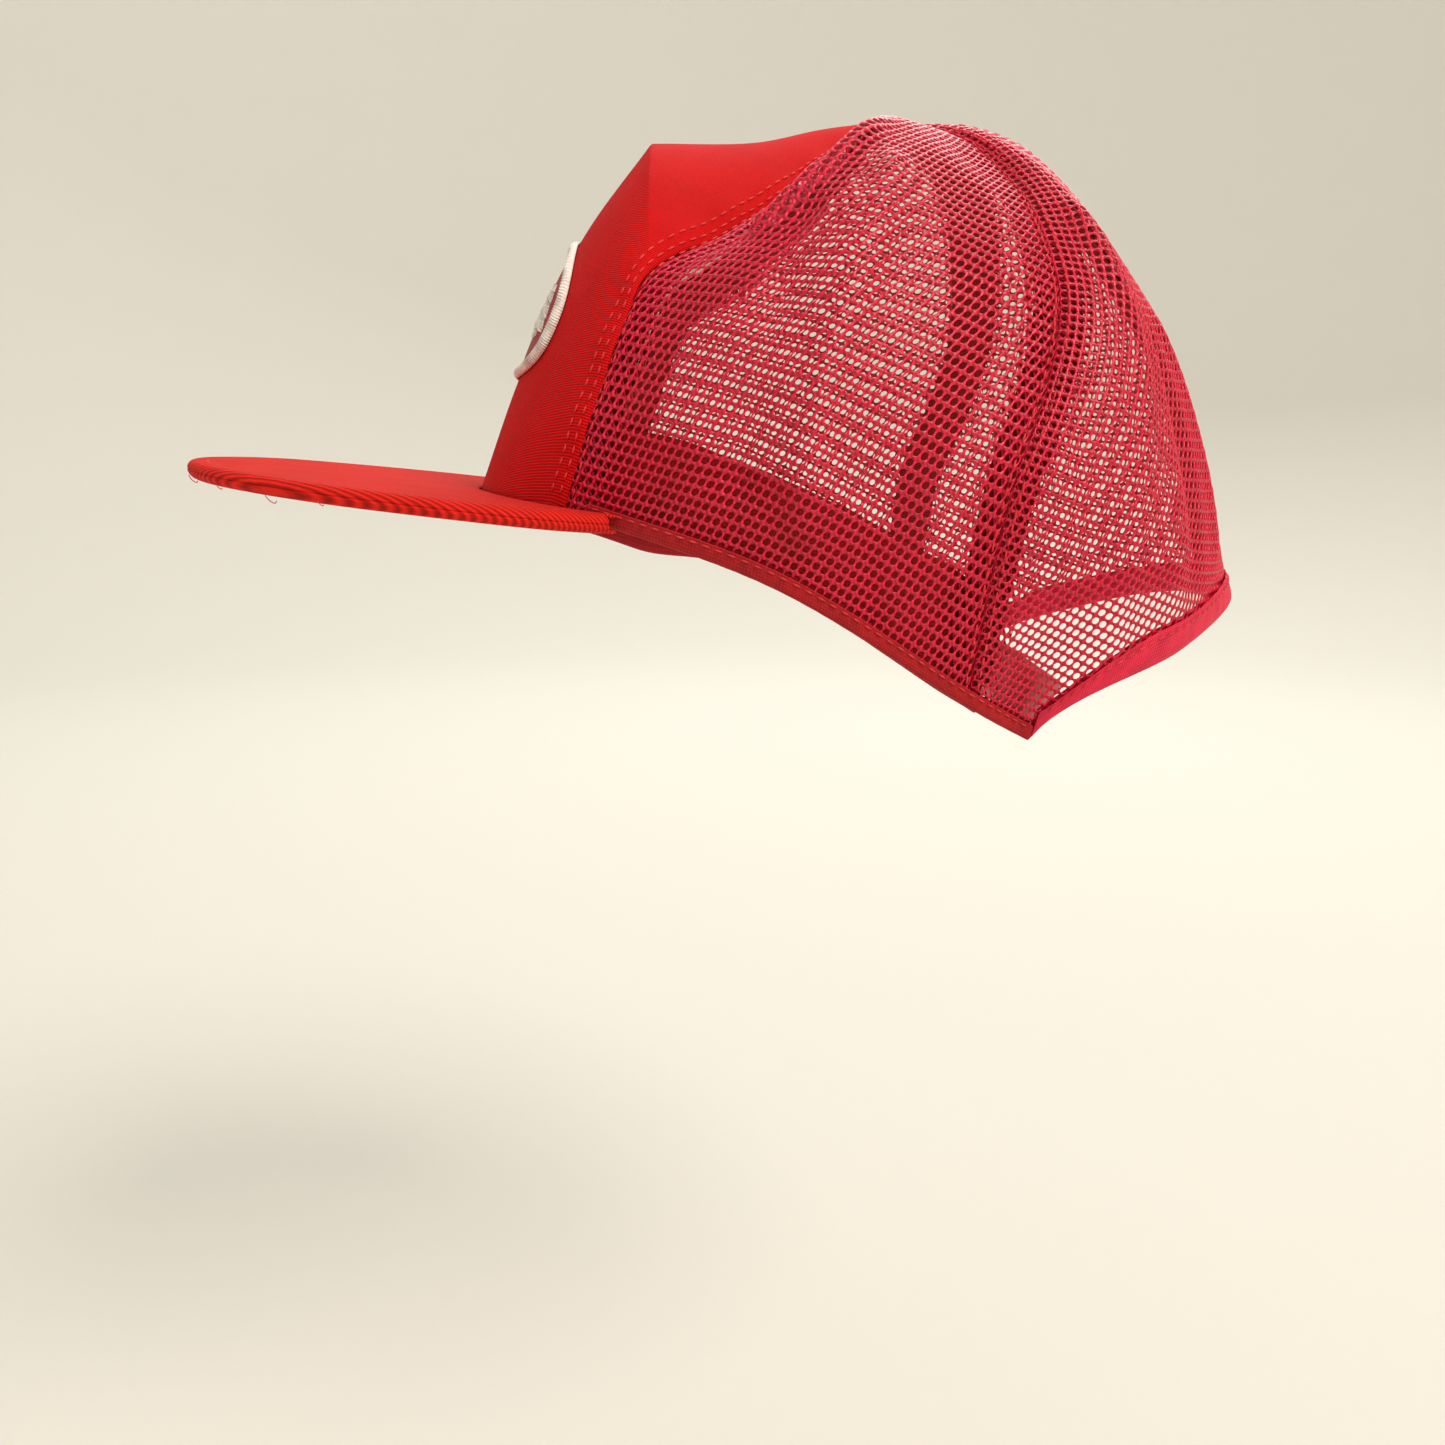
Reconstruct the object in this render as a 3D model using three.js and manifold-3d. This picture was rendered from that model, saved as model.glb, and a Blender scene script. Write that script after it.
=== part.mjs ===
// Trucker mesh cap: a stiff twill front over a flat bill, four mesh panels, and a plastic snap strap.
// Millimetres, +Z up, -Y to the front, +X to the wearer's left.
// The origin is the centre of the head opening.
import * as THREE from 'three';
import { mergeVertices } from 'three/addons/utils/BufferGeometryUtils.js';
import Module from 'manifold-3d';

const wasm = await Module();
wasm.setup();

// ---- Driving dimensions -------------------------------------------------------------------------

const SHELL_THICKNESS = 1.0;
const BACKING_THICKNESS = 1.2;
const TAPE_THICKNESS = 0.8;
const TAPE_WIDTH = 13;
const BACKING_DEPTH = 1.1;
const TAPE_DEPTH = 1.5;
const BACKING_BOTTOM = 0.01;
const BACKING_TOP = 0.86;
const SEAM_INSET = 0.6;
const APEX_CLEARANCE = 7;

const SWEATBAND_FRONT_HEIGHT = 19;
const SWEATBAND_REAR_HEIGHT = 26;
const SWEATBAND_THICKNESS = 1.2;
const SWEATBAND_DEPTH = 3.6;
const SWEATBAND_DROP = 4.5;
const SWEATBAND_LIP = 1.5;

const PANEL_COLUMNS = 16;
const ARCH_START = 3 / PANEL_COLUMNS;
const ARCH_RISE = 0.225;
const ARCH_ROUNDNESS = 2.6;
const ARCH_FLANK = 0.8;
const BINDING_WIDTH = 8;
const BINDING_HEM = 3;
const BINDING_THICKNESS = 2.4;
const BINDING_RUN_OUT = 0.25;

const BILL_HALF_WIDTH = 87;
const BILL_LENGTH = 74;
const BILL_BOARD = 1.8;
const BILL_COVER = 1.0;
const BILL_GAP = 0.3;
const BILL_LIP = 2.2;
const BILL_CLEARANCE = 1;
const BILL_SLOPE = 0.11;
const BILL_ARCH = 0.5;
const BILL_TOP_AT_JOINT = 30.4;
const BILL_ROOT_Y = -80.5;
const BILL_WIDEST_Y = -62;
const BILL_SQUARENESS = 2.4;
const BILL_REAR_LEVEL = 0.01;
const BILL_END_LEVEL = 0.02;
const BILL_END_CLEARANCE = 0.2;
// The bill's ends beside the ears: how far in from the widest place, and how far behind it.
const BILL_END = [[2, 9.5], [6.5, 17], [10.5, 22]];

const STRAP_WIDTH = 16;
const STRAP_THICKNESS = 1.2;
const STRAP_GAP = 0.35;
const STRAP_RADIUS = 200;
const STRAP_HINGE_X = 53;
const STRAP_END_X = 34;
const STRAP_TILT = THREE.MathUtils.degToRad(-31);
const STRAP_CENTRE = new THREE.Vector3(0, 69, -26);
const HINGE_GAP = 0.9;
const TAB_RISE = 2;
const TAB_INNER_PLACE = 0.075;
const SNAP_COUNT = 7;
const SNAP_PITCH = 9;
const PEG_RADIUS = 1.6;
const PEG_HEIGHT = 2.4;
const HOLE_RADIUS = 2.4;

const EMBLEM_HALF_WIDTH = 40;
const EMBLEM_HALF_HEIGHT = 19.5;
const EMBLEM_HEIGHT_ON_FACE = 51;
const EMBLEM_SQUARENESS = 2.4;
const EMBLEM_BORDER = 4;
const EMBLEM_THICKNESS = 0.8;
const EMBLEM_BASE = 0.35;
const TREE_HALF_OUTLINE = [[0, 11], [5, 5], [2.5, 5], [8, 0], [4, 0], [11, -6], [1.8, -6], [1.8, -10]];
const SIDE_TREE_PLACE = 22.5;
const SIDE_TREE_SCALE = 0.72;

// Where the sweatband is fixed, as shares of each panel's width from its front seam.
const BAND_ON_FRONT = [0, 0.2, 0.4, 0.6, 0.8, 0.93];
const BAND_AT_BILL_END = [0.05, 0.12, 0.2];
const BAND_ON_SIDE = [0.35, 0.5, 0.65, 0.8, 0.94];
const BAND_ON_BACK = [0.02, 0.05];

// Where the seam tapes begin and end, as shares of their seams.
const TAPE_BOTTOM = 0.03;
const FRONT_TAPE_TOP = 0.88;
const REAR_TAPE_TOP = 0.86;

// Meridians of the crown, from the lower rim to the apex. The right half mirrors the left.
const APEX = [0, 26.5, 125];
const FRONT_FACE = [[0, -80.5, 29.2], [0, -68.5, 60], [0, -52, 93.5], [0, -33, 118.5]];
const FRONT_TOP = [[0, -33, 118.5], [0, -6, 119], [0, 10.5, 122.5], APEX];
const FRONT_SEAM_FACE = [
  [65, -52, 26.4], [69, -46.5, 44], [69.5, -42.5, 55], [67, -37, 70], [61.5, -31.5, 80.5],
];
const FRONT_SEAM_TOP = [[51, -15.5, 89.5], [35, 4, 103], [19, 17.5, 113.5], APEX];
const SIDE_MIDDLE = [
  [81.5, -3, 10], [87, -1, 40], [85, 3, 66], [73, 10, 92], [51, 17, 111], [25, 23, 121], APEX,
];
const SIDE_SEAM = [
  [70, 43, -19], [76.5, 47, 13.5], [78.5, 51, 34], [72, 58.5, 54], [61.5, 63, 74],
  [42.5, 60, 96.5], [29.5, 56.5, 106.5], [13, 47, 119], APEX,
];
const REAR_CORNER = [
  [60, 58, -28], [70, 64, 4], [74, 69, 33], [67, 75, 55], [53, 77, 78],
  [35, 70, 101], [14, 52, 119], APEX,
];
const BACK_MIDDLE = [
  [47, 93, -46], [52, 97, -8], [55, 98, 18], [51, 95, 42], [41, 90, 68],
  [27, 79, 95], [10, 55, 120], APEX,
];
const BACK_SEAM = [
  [0, 124, -50], [0, 125, -1], [0, 122, 9], [0, 114, 41], [0, 105, 67],
  [0, 93, 85], [0, 79, 105], [0, 64, 119], [0, 46, 124.5], APEX,
];

// ---- Helpers ------------------------------------------------------------------------------------

function curveThrough(points) {
  return new THREE.CatmullRomCurve3(points.map((p) => new THREE.Vector3(...p)));
}

function mirrored(point) {
  return new THREE.Vector3(-point.x, point.y, point.z);
}

// A unit slab whose three coordinates are sent through a shaping function: along, up and out.
function bentSlab(alongSteps, upSteps, shape) {
  const box = new THREE.BoxGeometry(1, 1, 1, alongSteps, upSteps, 1);
  box.deleteAttribute('normal');
  box.deleteAttribute('uv');
  const slab = mergeVertices(box);
  const place = slab.getAttribute('position');
  for (let i = 0; i < place.count; i++) {
    const point = shape(place.getX(i) + 0.5, place.getY(i) + 0.5, place.getZ(i) + 0.5);
    place.setXYZ(i, point.x, point.y, point.z);
  }
  return slab;
}

function mirrorGeometry(geometry) {
  const copy = geometry.clone();
  const place = copy.getAttribute('position');
  for (let i = 0; i < place.count; i++) {
    place.setX(i, -place.getX(i));
  }
  const index = copy.getIndex();
  for (let i = 0; i < index.count; i += 3) {
    const second = index.getX(i + 1);
    index.setX(i + 1, index.getX(i + 2));
    index.setX(i + 2, second);
  }
  return copy;
}

function toSolid(geometry) {
  const bare = geometry.clone();
  bare.deleteAttribute('normal');
  bare.deleteAttribute('uv');
  const merged = mergeVertices(bare, 1e-4);
  return new wasm.Manifold(new wasm.Mesh({
    numProp: 3,
    vertProperties: new Float32Array(merged.getAttribute('position').array),
    triVerts: new Uint32Array(merged.getIndex().array),
  }));
}

function toGeometry(solid) {
  const mesh = solid.getMesh();
  const geometry = new THREE.BufferGeometry();
  geometry.setAttribute('position', new THREE.BufferAttribute(new Float32Array(mesh.vertProperties), 3));
  geometry.setIndex(new THREE.BufferAttribute(new Uint32Array(mesh.triVerts), 1));
  return geometry;
}

// ---- Crown surface ------------------------------------------------------------------------------

// Small and wide steps over which slopes are taken, as shares of a panel.
const SAMPLE_STEP = 0.004;
const WIDE_STEP = 0.01;

const frontFace = curveThrough(FRONT_FACE);
const frontTop = curveThrough(FRONT_TOP);
const frontSeam = curveThrough([...FRONT_SEAM_FACE, ...FRONT_SEAM_TOP]);
const sideMiddle = curveThrough(SIDE_MIDDLE);
const sideSeam = curveThrough(SIDE_SEAM);
const rearCorner = curveThrough(REAR_CORNER);
const backMiddle = curveThrough(BACK_MIDDLE);
const backSeam = curveThrough(BACK_SEAM);

// Share of the front seam that lies below the shoulder, where the front panel folds over.
const SHOULDER = curveThrough(FRONT_SEAM_FACE).getLength() / frontSeam.getLength();

const ROW_STEPS = 16;
const rowCache = new Map();

// One level round the crown from the front seam to the centre back, measured along its length.
function crownRow(up) {
  const key = up.toFixed(5);
  if (!rowCache.has(key)) {
    const middle = backMiddle.getPointAt(up);
    const stations = [frontSeam, sideMiddle, sideSeam, rearCorner].map((curve) => curve.getPointAt(up));
    const behind = [middle, backSeam.getPointAt(up), mirrored(middle)];
    const line = new THREE.CatmullRomCurve3([...stations, ...behind]);
    const points = line.getPoints(6 * ROW_STEPS).slice(0, 5 * ROW_STEPS + 1);
    const lengths = [0];
    for (let i = 1; i < points.length; i++) {
      lengths.push(lengths[i - 1] + points[i].distanceTo(points[i - 1]));
    }
    rowCache.set(key, { points, lengths, seam: lengths[2 * ROW_STEPS], end: lengths[5 * ROW_STEPS] });
  }
  return rowCache.get(key);
}

function rowPoint(row, distance) {
  let i = 1;
  while (i < row.lengths.length - 1 && row.lengths[i] < distance) {
    i++;
  }
  const share = (distance - row.lengths[i - 1]) / Math.max(row.lengths[i] - row.lengths[i - 1], 1e-6);
  return row.points[i - 1].clone().lerp(row.points[i], share);
}

function sidePoint(along, up) {
  const row = crownRow(up);
  return rowPoint(row, along * row.seam);
}

function backPoint(along, up) {
  const row = crownRow(up);
  return rowPoint(row, row.seam + along * (row.end - row.seam));
}

function frontPoint(along, up) {
  const centre = up <= SHOULDER
    ? frontFace.getPointAt(up / SHOULDER)
    : frontTop.getPointAt((up - SHOULDER) / (1 - SHOULDER));
  const edge = frontSeam.getPointAt(up);
  const bow = along * along;
  return new THREE.Vector3(
    edge.x * along,
    THREE.MathUtils.lerp(centre.y, edge.y, bow),
    THREE.MathUtils.lerp(centre.z, edge.z, bow),
  );
}

// Outward normal of a surface given as a function of along and up.
function normalAt(surface, along, up, low = 0) {
  const step = SAMPLE_STEP;
  const a0 = surface(Math.max(along - step, low), up);
  const a1 = surface(Math.min(along + step, 1), up);
  const u0 = surface(along, Math.max(up - step, 0));
  const u1 = surface(along, Math.min(up + step, 1));
  return a1.sub(a0).cross(u1.sub(u0)).normalize();
}

function offsetPoint(surface, along, up, out, low = 0) {
  return surface(along, up).addScaledVector(normalAt(surface, along, up, low), out);
}

function rowWidth(surface, up, low = 0) {
  let width = 0;
  let last = surface(low, up);
  for (let i = 1; i <= 12; i++) {
    const next = surface(low + ((1 - low) * i) / 12, up);
    width += next.distanceTo(last);
    last = next;
  }
  return width;
}

// Height of the rear opening's edge at a place along the back panel, as a share of the meridian.
function archEdge(along) {
  const reach = Math.min((1 - along) / (1 - ARCH_START), 1);
  return ARCH_RISE * (1 - reach ** ARCH_ROUNDNESS) ** ARCH_FLANK;
}

const TOP_OF_PANELS = 1 - APEX_CLEARANCE / frontSeam.getLength();

// ---- Crown panels -------------------------------------------------------------------------------

// A level between bottom and top. On a folded panel the middle level falls on the fold.
function levelOn(folded, share, bottom, top) {
  if (!folded) {
    return bottom + (top - bottom) * share;
  }
  return share <= 0.5
    ? THREE.MathUtils.lerp(bottom, SHOULDER, 2 * share)
    : THREE.MathUtils.lerp(SHOULDER, top, 2 * share - 1);
}

function panelShell(surface, alongSteps, upSteps, options) {
  const { low = 0, inset = SEAM_INSET, depth = 0, thickness } = options;
  const { bottom = () => 0, top = TOP_OF_PANELS } = options;
  return bentSlab(alongSteps, upSteps, (a, u, o) => {
    const raw = low + (1 - low) * a;
    const up = levelOn(low < 0, u, bottom(raw), top);
    const margin = (inset * (1 - low)) / rowWidth(surface, up, low);
    const along = THREE.MathUtils.lerp(low + margin, 1 - margin, a);
    return offsetPoint(surface, along, up, (o - 0.5) * thickness - depth, low);
  });
}

// Upper edge of the binding round the rear opening. The binding narrows to a hem at the corners.
function bindingTop(along) {
  if (along < ARCH_START) {
    return 0;
  }
  const full = THREE.MathUtils.smoothstep(along, ARCH_START, ARCH_START + BINDING_RUN_OUT);
  const width = THREE.MathUtils.lerp(BINDING_HEM, BINDING_WIDTH, full);
  const rise = (archEdge(Math.min(along + WIDE_STEP, 1)) - archEdge(along)) * backSeam.getLength();
  const run = WIDE_STEP * rowWidth(backPoint, archEdge(along));
  return archEdge(along) + (width * Math.hypot(1, rise / run)) / backSeam.getLength();
}

function meshBottom(along) {
  return along < ARCH_START ? 0 : bindingTop(along) + SEAM_INSET / backSeam.getLength();
}

const frontPanel = panelShell(frontPoint, 12, 12, { low: -1, thickness: SHELL_THICKNESS });
const frontBacking = panelShell(frontPoint, 12, 12, {
  low: -1,
  inset: TAPE_WIDTH / 2 + 1,
  depth: BACKING_DEPTH + BACKING_THICKNESS / 2,
  thickness: BACKING_THICKNESS,
  bottom: () => BACKING_BOTTOM,
  top: BACKING_TOP,
});
const sideMesh = panelShell(sidePoint, 10, 12, { thickness: SHELL_THICKNESS });
const backMesh = panelShell(backPoint, PANEL_COLUMNS, 10, {
  thickness: SHELL_THICKNESS,
  bottom: meshBottom,
});

// Distance to either side over which a tape's facing direction is taken.
const TAPE_REACH = 2;

// A tape sewn over a seam on the inside, half on each panel.
function seamTape(surfaceBefore, surfaceAfter, lowBefore, bottom, top) {
  const across = (distance, up) => {
    if (distance < 0) {
      const share = ((1 - lowBefore) * distance) / rowWidth(surfaceBefore, up, lowBefore);
      return surfaceBefore(1 + share, up);
    }
    return surfaceAfter(distance / rowWidth(surfaceAfter, up), up);
  };
  const depth = TAPE_DEPTH + TAPE_THICKNESS / 2;
  return bentSlab(2, 14, (a, u, o) => {
    const up = bottom + (top - bottom) * u;
    const distance = (a - 0.5) * TAPE_WIDTH;
    const sideways = across(distance + TAPE_REACH, up).sub(across(distance - TAPE_REACH, up));
    const upward = across(distance, up + WIDE_STEP).sub(across(distance, up - WIDE_STEP));
    const outward = sideways.cross(upward).normalize();
    return across(distance, up).addScaledVector(outward, (o - 0.5) * TAPE_THICKNESS - depth);
  });
}

const otherBackPoint = (along, up) => mirrored(backPoint(1 - along, up));
const frontTape = seamTape(frontPoint, sidePoint, -1, TAPE_BOTTOM, FRONT_TAPE_TOP);
const sideTape = seamTape(sidePoint, backPoint, 0, TAPE_BOTTOM, REAR_TAPE_TOP);
const backTape = seamTape(backPoint, otherBackPoint, 0, bindingTop(1) + WIDE_STEP, REAR_TAPE_TOP);

// The binding is one strip from corner to corner over the top of the rear opening.
const BINDING_COLUMNS = PANEL_COLUMNS * (1 - ARCH_START);
const archBinding = bentSlab(2 * BINDING_COLUMNS, 1, (a, u, o) => {
  const side = 2 * a - 1;
  const along = 1 - Math.abs(side) * (1 - ARCH_START);
  const up = THREE.MathUtils.lerp(archEdge(along), bindingTop(along), u);
  const point = offsetPoint(backPoint, along, up, (o - 0.5) * BINDING_THICKNESS);
  if (side > 1e-6) {
    return mirrored(point);
  }
  return Math.abs(side) <= 1e-6 ? point.setX(0) : point;
});

// ---- Sweatband ----------------------------------------------------------------------------------

// Points just under the rim and at the band's top edge, from the front centre back to one corner.
function sweatbandRails() {
  const stations = [];
  BAND_ON_FRONT.forEach((along) => {
    const middleLength = frontFace.getLength() / SHOULDER;
    const length = THREE.MathUtils.lerp(middleLength, frontSeam.getLength(), along * along);
    stations.push({ surface: frontPoint, along, length, drop: SWEATBAND_DROP });
  });
  BAND_AT_BILL_END.forEach((along) => {
    stations.push({ surface: sidePoint, along, length: frontSeam.getLength(), drop: SWEATBAND_DROP });
  });
  BAND_ON_SIDE.forEach((along) => {
    stations.push({ surface: sidePoint, along, length: sideMiddle.getLength(), drop: SWEATBAND_LIP });
  });
  BAND_ON_BACK.forEach((along) => {
    stations.push({ surface: backPoint, along, length: sideSeam.getLength(), drop: SWEATBAND_LIP });
  });
  const railAt = (edge) => stations.map(({ surface, along, length, drop }, i) => {
    const rearward = i / (stations.length - 1);
    const height = THREE.MathUtils.lerp(SWEATBAND_FRONT_HEIGHT, SWEATBAND_REAR_HEIGHT, rearward);
    const foot = surface(along, 0);
    const head = surface(along, height / length);
    return edge === 0 ? foot.lerp(head, -drop / height) : head;
  });
  return [railAt(0), railAt(1)];
}

function fullRail(half) {
  const others = half.slice(1).map(mirrored).reverse();
  return new THREE.CatmullRomCurve3([...others, ...half]);
}

const [footRail, headRail] = sweatbandRails().map(fullRail);
const sweatband = bentSlab(56, 1, (a, u, o) => {
  const place = (along, up) => footRail.getPoint(along).lerp(headRail.getPoint(along), up);
  const ahead = place(Math.min(a + SAMPLE_STEP, 1), u);
  const forward = ahead.sub(place(Math.max(a - SAMPLE_STEP, 0), u));
  const upward = place(a, 1).sub(place(a, 0));
  const outward = forward.cross(upward).normalize();
  return place(a, u).addScaledVector(outward, (o - 0.5) * SWEATBAND_THICKNESS - SWEATBAND_DEPTH);
});

// ---- Bill ---------------------------------------------------------------------------------------

function billTop(x, y) {
  const forward = -y + BILL_ROOT_Y;
  return BILL_TOP_AT_JOINT + BILL_SLOPE * forward - BILL_ARCH * (x / BILL_HALF_WIDTH) ** 2;
}

// Rear edge, just outside the crown, from the front centre to the bill's end beside the ear.
function billRearEdge() {
  const clearance = SHELL_THICKNESS / 2 + BILL_CLEARANCE;
  const front = [0, 0.2, 0.4, 0.6, 0.8, 0.94].map((along) => {
    return offsetPoint(frontPoint, along, BILL_REAR_LEVEL, clearance, -1);
  });
  const side = [0.03, 0.08, 0.13].map((along) => {
    return offsetPoint(sidePoint, along, BILL_END_LEVEL, clearance + BILL_END_CLEARANCE);
  });
  return [...front, ...side];
}

// Outer edge: a squared ellipse with the corners drawn back to the bill's ends.
function billOuterEdge() {
  const points = [];
  for (let degrees = 0; degrees <= 90; degrees += 10) {
    const angle = THREE.MathUtils.degToRad(degrees);
    const power = 2 / BILL_SQUARENESS;
    const x = BILL_HALF_WIDTH * Math.sin(angle) ** power;
    const reach = BILL_ROOT_Y - BILL_LENGTH - BILL_WIDEST_Y;
    points.push(new THREE.Vector3(x, BILL_WIDEST_Y + reach * Math.cos(angle) ** power, 0));
  }
  BILL_END.forEach(([inward, behind]) => {
    points.push(new THREE.Vector3(BILL_HALF_WIDTH - inward, BILL_WIDEST_Y + behind, 0));
  });
  return points;
}

const billRear = fullRail(billRearEdge());
const billOuter = fullRail(billOuterEdge());

// A layer of the bill: its depth below the top face at both faces, and how far its edges draw in.
function billLayer(upperDepth, lowerDepth, edgeInset, rearInset, endInset) {
  return bentSlab(30, 2, (a, u, o) => {
    const place = THREE.MathUtils.lerp(endInset, 1 - endInset, a);
    const rear = billRear.getPointAt(place).setZ(0);
    const outer = billOuter.getPointAt(place).setZ(0);
    const span = outer.clone().sub(rear);
    const from = rear.addScaledVector(span, rearInset / span.length());
    const tangent = billOuter.getTangentAt(place).setZ(0).normalize();
    const inward = new THREE.Vector3(-tangent.y, tangent.x, 0);
    const to = outer.addScaledVector(inward, edgeInset);
    const point = from.lerp(to, 1 - u);
    point.z = billTop(point.x, point.y) - THREE.MathUtils.lerp(lowerDepth, upperDepth, o);
    return point;
  });
}

const BILL_THICKNESS = 2 * BILL_COVER + 2 * BILL_GAP + BILL_BOARD;
const POCKET_OVERRUN = 2;
const POCKET_END = 0.012;
const BOARD_REAR_INSET = 0.5;
const BOARD_END = 0.02;
const pocketFloor = BILL_THICKNESS - BILL_COVER;
const billPocket = toSolid(billLayer(BILL_COVER, pocketFloor, BILL_LIP, -POCKET_OVERRUN, POCKET_END));
const billBoard = billLayer(
  BILL_COVER + BILL_GAP,
  pocketFloor - BILL_GAP,
  BILL_LIP + 2 * BILL_GAP,
  BOARD_REAR_INSET,
  BOARD_END,
);

function billCover(upperDepth, lowerDepth) {
  return toGeometry(toSolid(billLayer(upperDepth, lowerDepth, 0, 0, 0)).subtract(billPocket));
}

const billTopCover = billCover(0, (BILL_THICKNESS - BILL_GAP) / 2);
const billUnderCover = billCover((BILL_THICKNESS + BILL_GAP) / 2, BILL_THICKNESS);

// ---- Emblem -------------------------------------------------------------------------------------

// A place on the front face: across and above the emblem's centre, and out from the twill.
function onFrontFace(across, above, out) {
  const up = ((EMBLEM_HEIGHT_ON_FACE + above) / frontFace.getLength()) * SHOULDER;
  return offsetPoint(frontPoint, across / frontSeam.getPointAt(up).x, up, SHELL_THICKNESS / 2 + out, -1);
}

const EMBLEM_ROWS = 4;
const EMBLEM_SEGMENTS = 36;

// A disc or ring of rounded outline, from the inner to the outer share of the emblem's size.
function emblemRing(inner, outer, low, high) {
  const shares = [];
  for (let i = 0; i <= EMBLEM_ROWS; i++) {
    shares.push(THREE.MathUtils.lerp(inner, outer, i / EMBLEM_ROWS));
  }
  const under = shares.map((share) => new THREE.Vector2(share, low));
  const over = shares.map((share) => new THREE.Vector2(share, high)).reverse();
  const closing = inner > 0 ? [under[0].clone()] : [];
  const lathe = new THREE.LatheGeometry([...under, ...over, ...closing], EMBLEM_SEGMENTS);
  lathe.deleteAttribute('normal');
  lathe.deleteAttribute('uv');
  const ring = mergeVertices(lathe, 1e-4);
  const place = ring.getAttribute('position');
  for (let i = 0; i < place.count; i++) {
    const x = place.getX(i);
    const z = place.getZ(i);
    const radius = Math.hypot(x, z);
    const squareness = EMBLEM_SQUARENESS;
    const cosine = radius > 0 ? x / radius : 1;
    const sine = radius > 0 ? -z / radius : 0;
    const stretch = (Math.abs(cosine) ** squareness + Math.abs(sine) ** squareness) ** (-1 / squareness);
    const across = EMBLEM_HALF_WIDTH * radius * stretch * cosine;
    const above = EMBLEM_HALF_HEIGHT * radius * stretch * sine;
    const point = onFrontFace(across, above, place.getY(i));
    place.setXYZ(i, point.x, point.y, point.z);
  }
  return ring;
}

const borderShare = EMBLEM_BORDER / EMBLEM_HALF_WIDTH;
const groundShare = 1 - borderShare - SEAM_INSET / EMBLEM_HALF_HEIGHT;
const emblemGround = emblemRing(0, groundShare, EMBLEM_BASE, EMBLEM_BASE + EMBLEM_THICKNESS);
const emblemBorder = emblemRing(1 - borderShare, 1, EMBLEM_BASE, EMBLEM_BASE + 1.5 * EMBLEM_THICKNESS);

// A pine tree of three tiers over a short trunk, in raised stitching.
function pineTree(middle, scale) {
  const shape = new THREE.Shape();
  TREE_HALF_OUTLINE.forEach(([x, y], i) => {
    if (i === 0) {
      shape.moveTo(x, y);
    } else {
      shape.lineTo(x, y);
    }
  });
  TREE_HALF_OUTLINE.slice(1).reverse().forEach(([x, y]) => shape.lineTo(-x, y));
  shape.closePath();
  const extruded = new THREE.ExtrudeGeometry(shape, { depth: EMBLEM_THICKNESS, bevelEnabled: false });
  extruded.deleteAttribute('normal');
  extruded.deleteAttribute('uv');
  const tree = mergeVertices(extruded);
  const place = tree.getAttribute('position');
  const base = EMBLEM_BASE + EMBLEM_THICKNESS + SEAM_INSET;
  for (let i = 0; i < place.count; i++) {
    const across = middle + scale * place.getX(i);
    const point = onFrontFace(across, scale * place.getY(i), base + place.getZ(i));
    place.setXYZ(i, point.x, point.y, point.z);
  }
  return tree;
}

// ---- Snap strap ---------------------------------------------------------------------------------

// The closure's own frame: X across the back, Y outward, Z up the strap's width.
function strapLine(x, out) {
  return new THREE.Vector2(x, out - (x * x) / (2 * STRAP_RADIUS));
}

function strapHalf(fromX, toX, out) {
  return bentSlab(8, 1, (a, u, o) => {
    const x = THREE.MathUtils.lerp(fromX, toX, a);
    const line = strapLine(x, out + (0.5 - o) * STRAP_THICKNESS);
    return new THREE.Vector3(line.x, line.y, (u - 0.5) * STRAP_WIDTH);
  });
}

function snapCylinders(radius, low, high) {
  const cylinders = [];
  for (let i = 0; i < SNAP_COUNT; i++) {
    const x = (i - (SNAP_COUNT - 1) / 2) * SNAP_PITCH;
    const cylinder = new THREE.CylinderGeometry(radius, radius, high - low, 12);
    cylinder.translate(0, (low + high) / 2, 0);
    cylinder.rotateZ(Math.asin(-x / STRAP_RADIUS));
    const foot = strapLine(x, 0);
    cylinder.translate(foot.x, foot.y, 0);
    cylinders.push(toSolid(cylinder));
  }
  return cylinders;
}

const HOLE_STRAP_OUT = STRAP_THICKNESS + STRAP_GAP;
let holeStrap = toSolid(strapHalf(-STRAP_END_X, STRAP_HINGE_X - HINGE_GAP, HOLE_STRAP_OUT));
snapCylinders(HOLE_RADIUS, -1, 5).forEach((hole) => {
  holeStrap = holeStrap.subtract(hole);
});
let pegStrap = toSolid(strapHalf(-STRAP_HINGE_X + HINGE_GAP, STRAP_END_X, 0));
snapCylinders(PEG_RADIUS, 0, STRAP_THICKNESS / 2 + PEG_HEIGHT).forEach((peg) => {
  pegStrap = pegStrap.add(peg);
});

// The sewn end of a strap half: from the bend line to under the crown's rear corner.
const closurePlace = new THREE.Matrix4().makeRotationX(STRAP_TILT).setPosition(STRAP_CENTRE);

function strapTab(out) {
  const inner = (up) => {
    const height = (TAB_RISE + up * STRAP_WIDTH) / rearCorner.getLength();
    return offsetPoint(backPoint, TAB_INNER_PLACE, height, -BACKING_DEPTH - STRAP_THICKNESS / 2);
  };
  const bend = (up) => {
    const line = strapLine(STRAP_HINGE_X + HINGE_GAP, out);
    return new THREE.Vector3(line.x, line.y, (up - 0.5) * STRAP_WIDTH).applyMatrix4(closurePlace);
  };
  return bentSlab(3, 2, (a, u, o) => {
    const from = inner(u);
    const to = bend(u);
    const upward = inner(1).lerp(bend(1), a).sub(inner(0).lerp(bend(0), a));
    const outward = to.clone().sub(from).cross(upward).normalize();
    return from.lerp(to, a).addScaledVector(outward, (o - 0.5) * STRAP_THICKNESS);
  });
}

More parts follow.
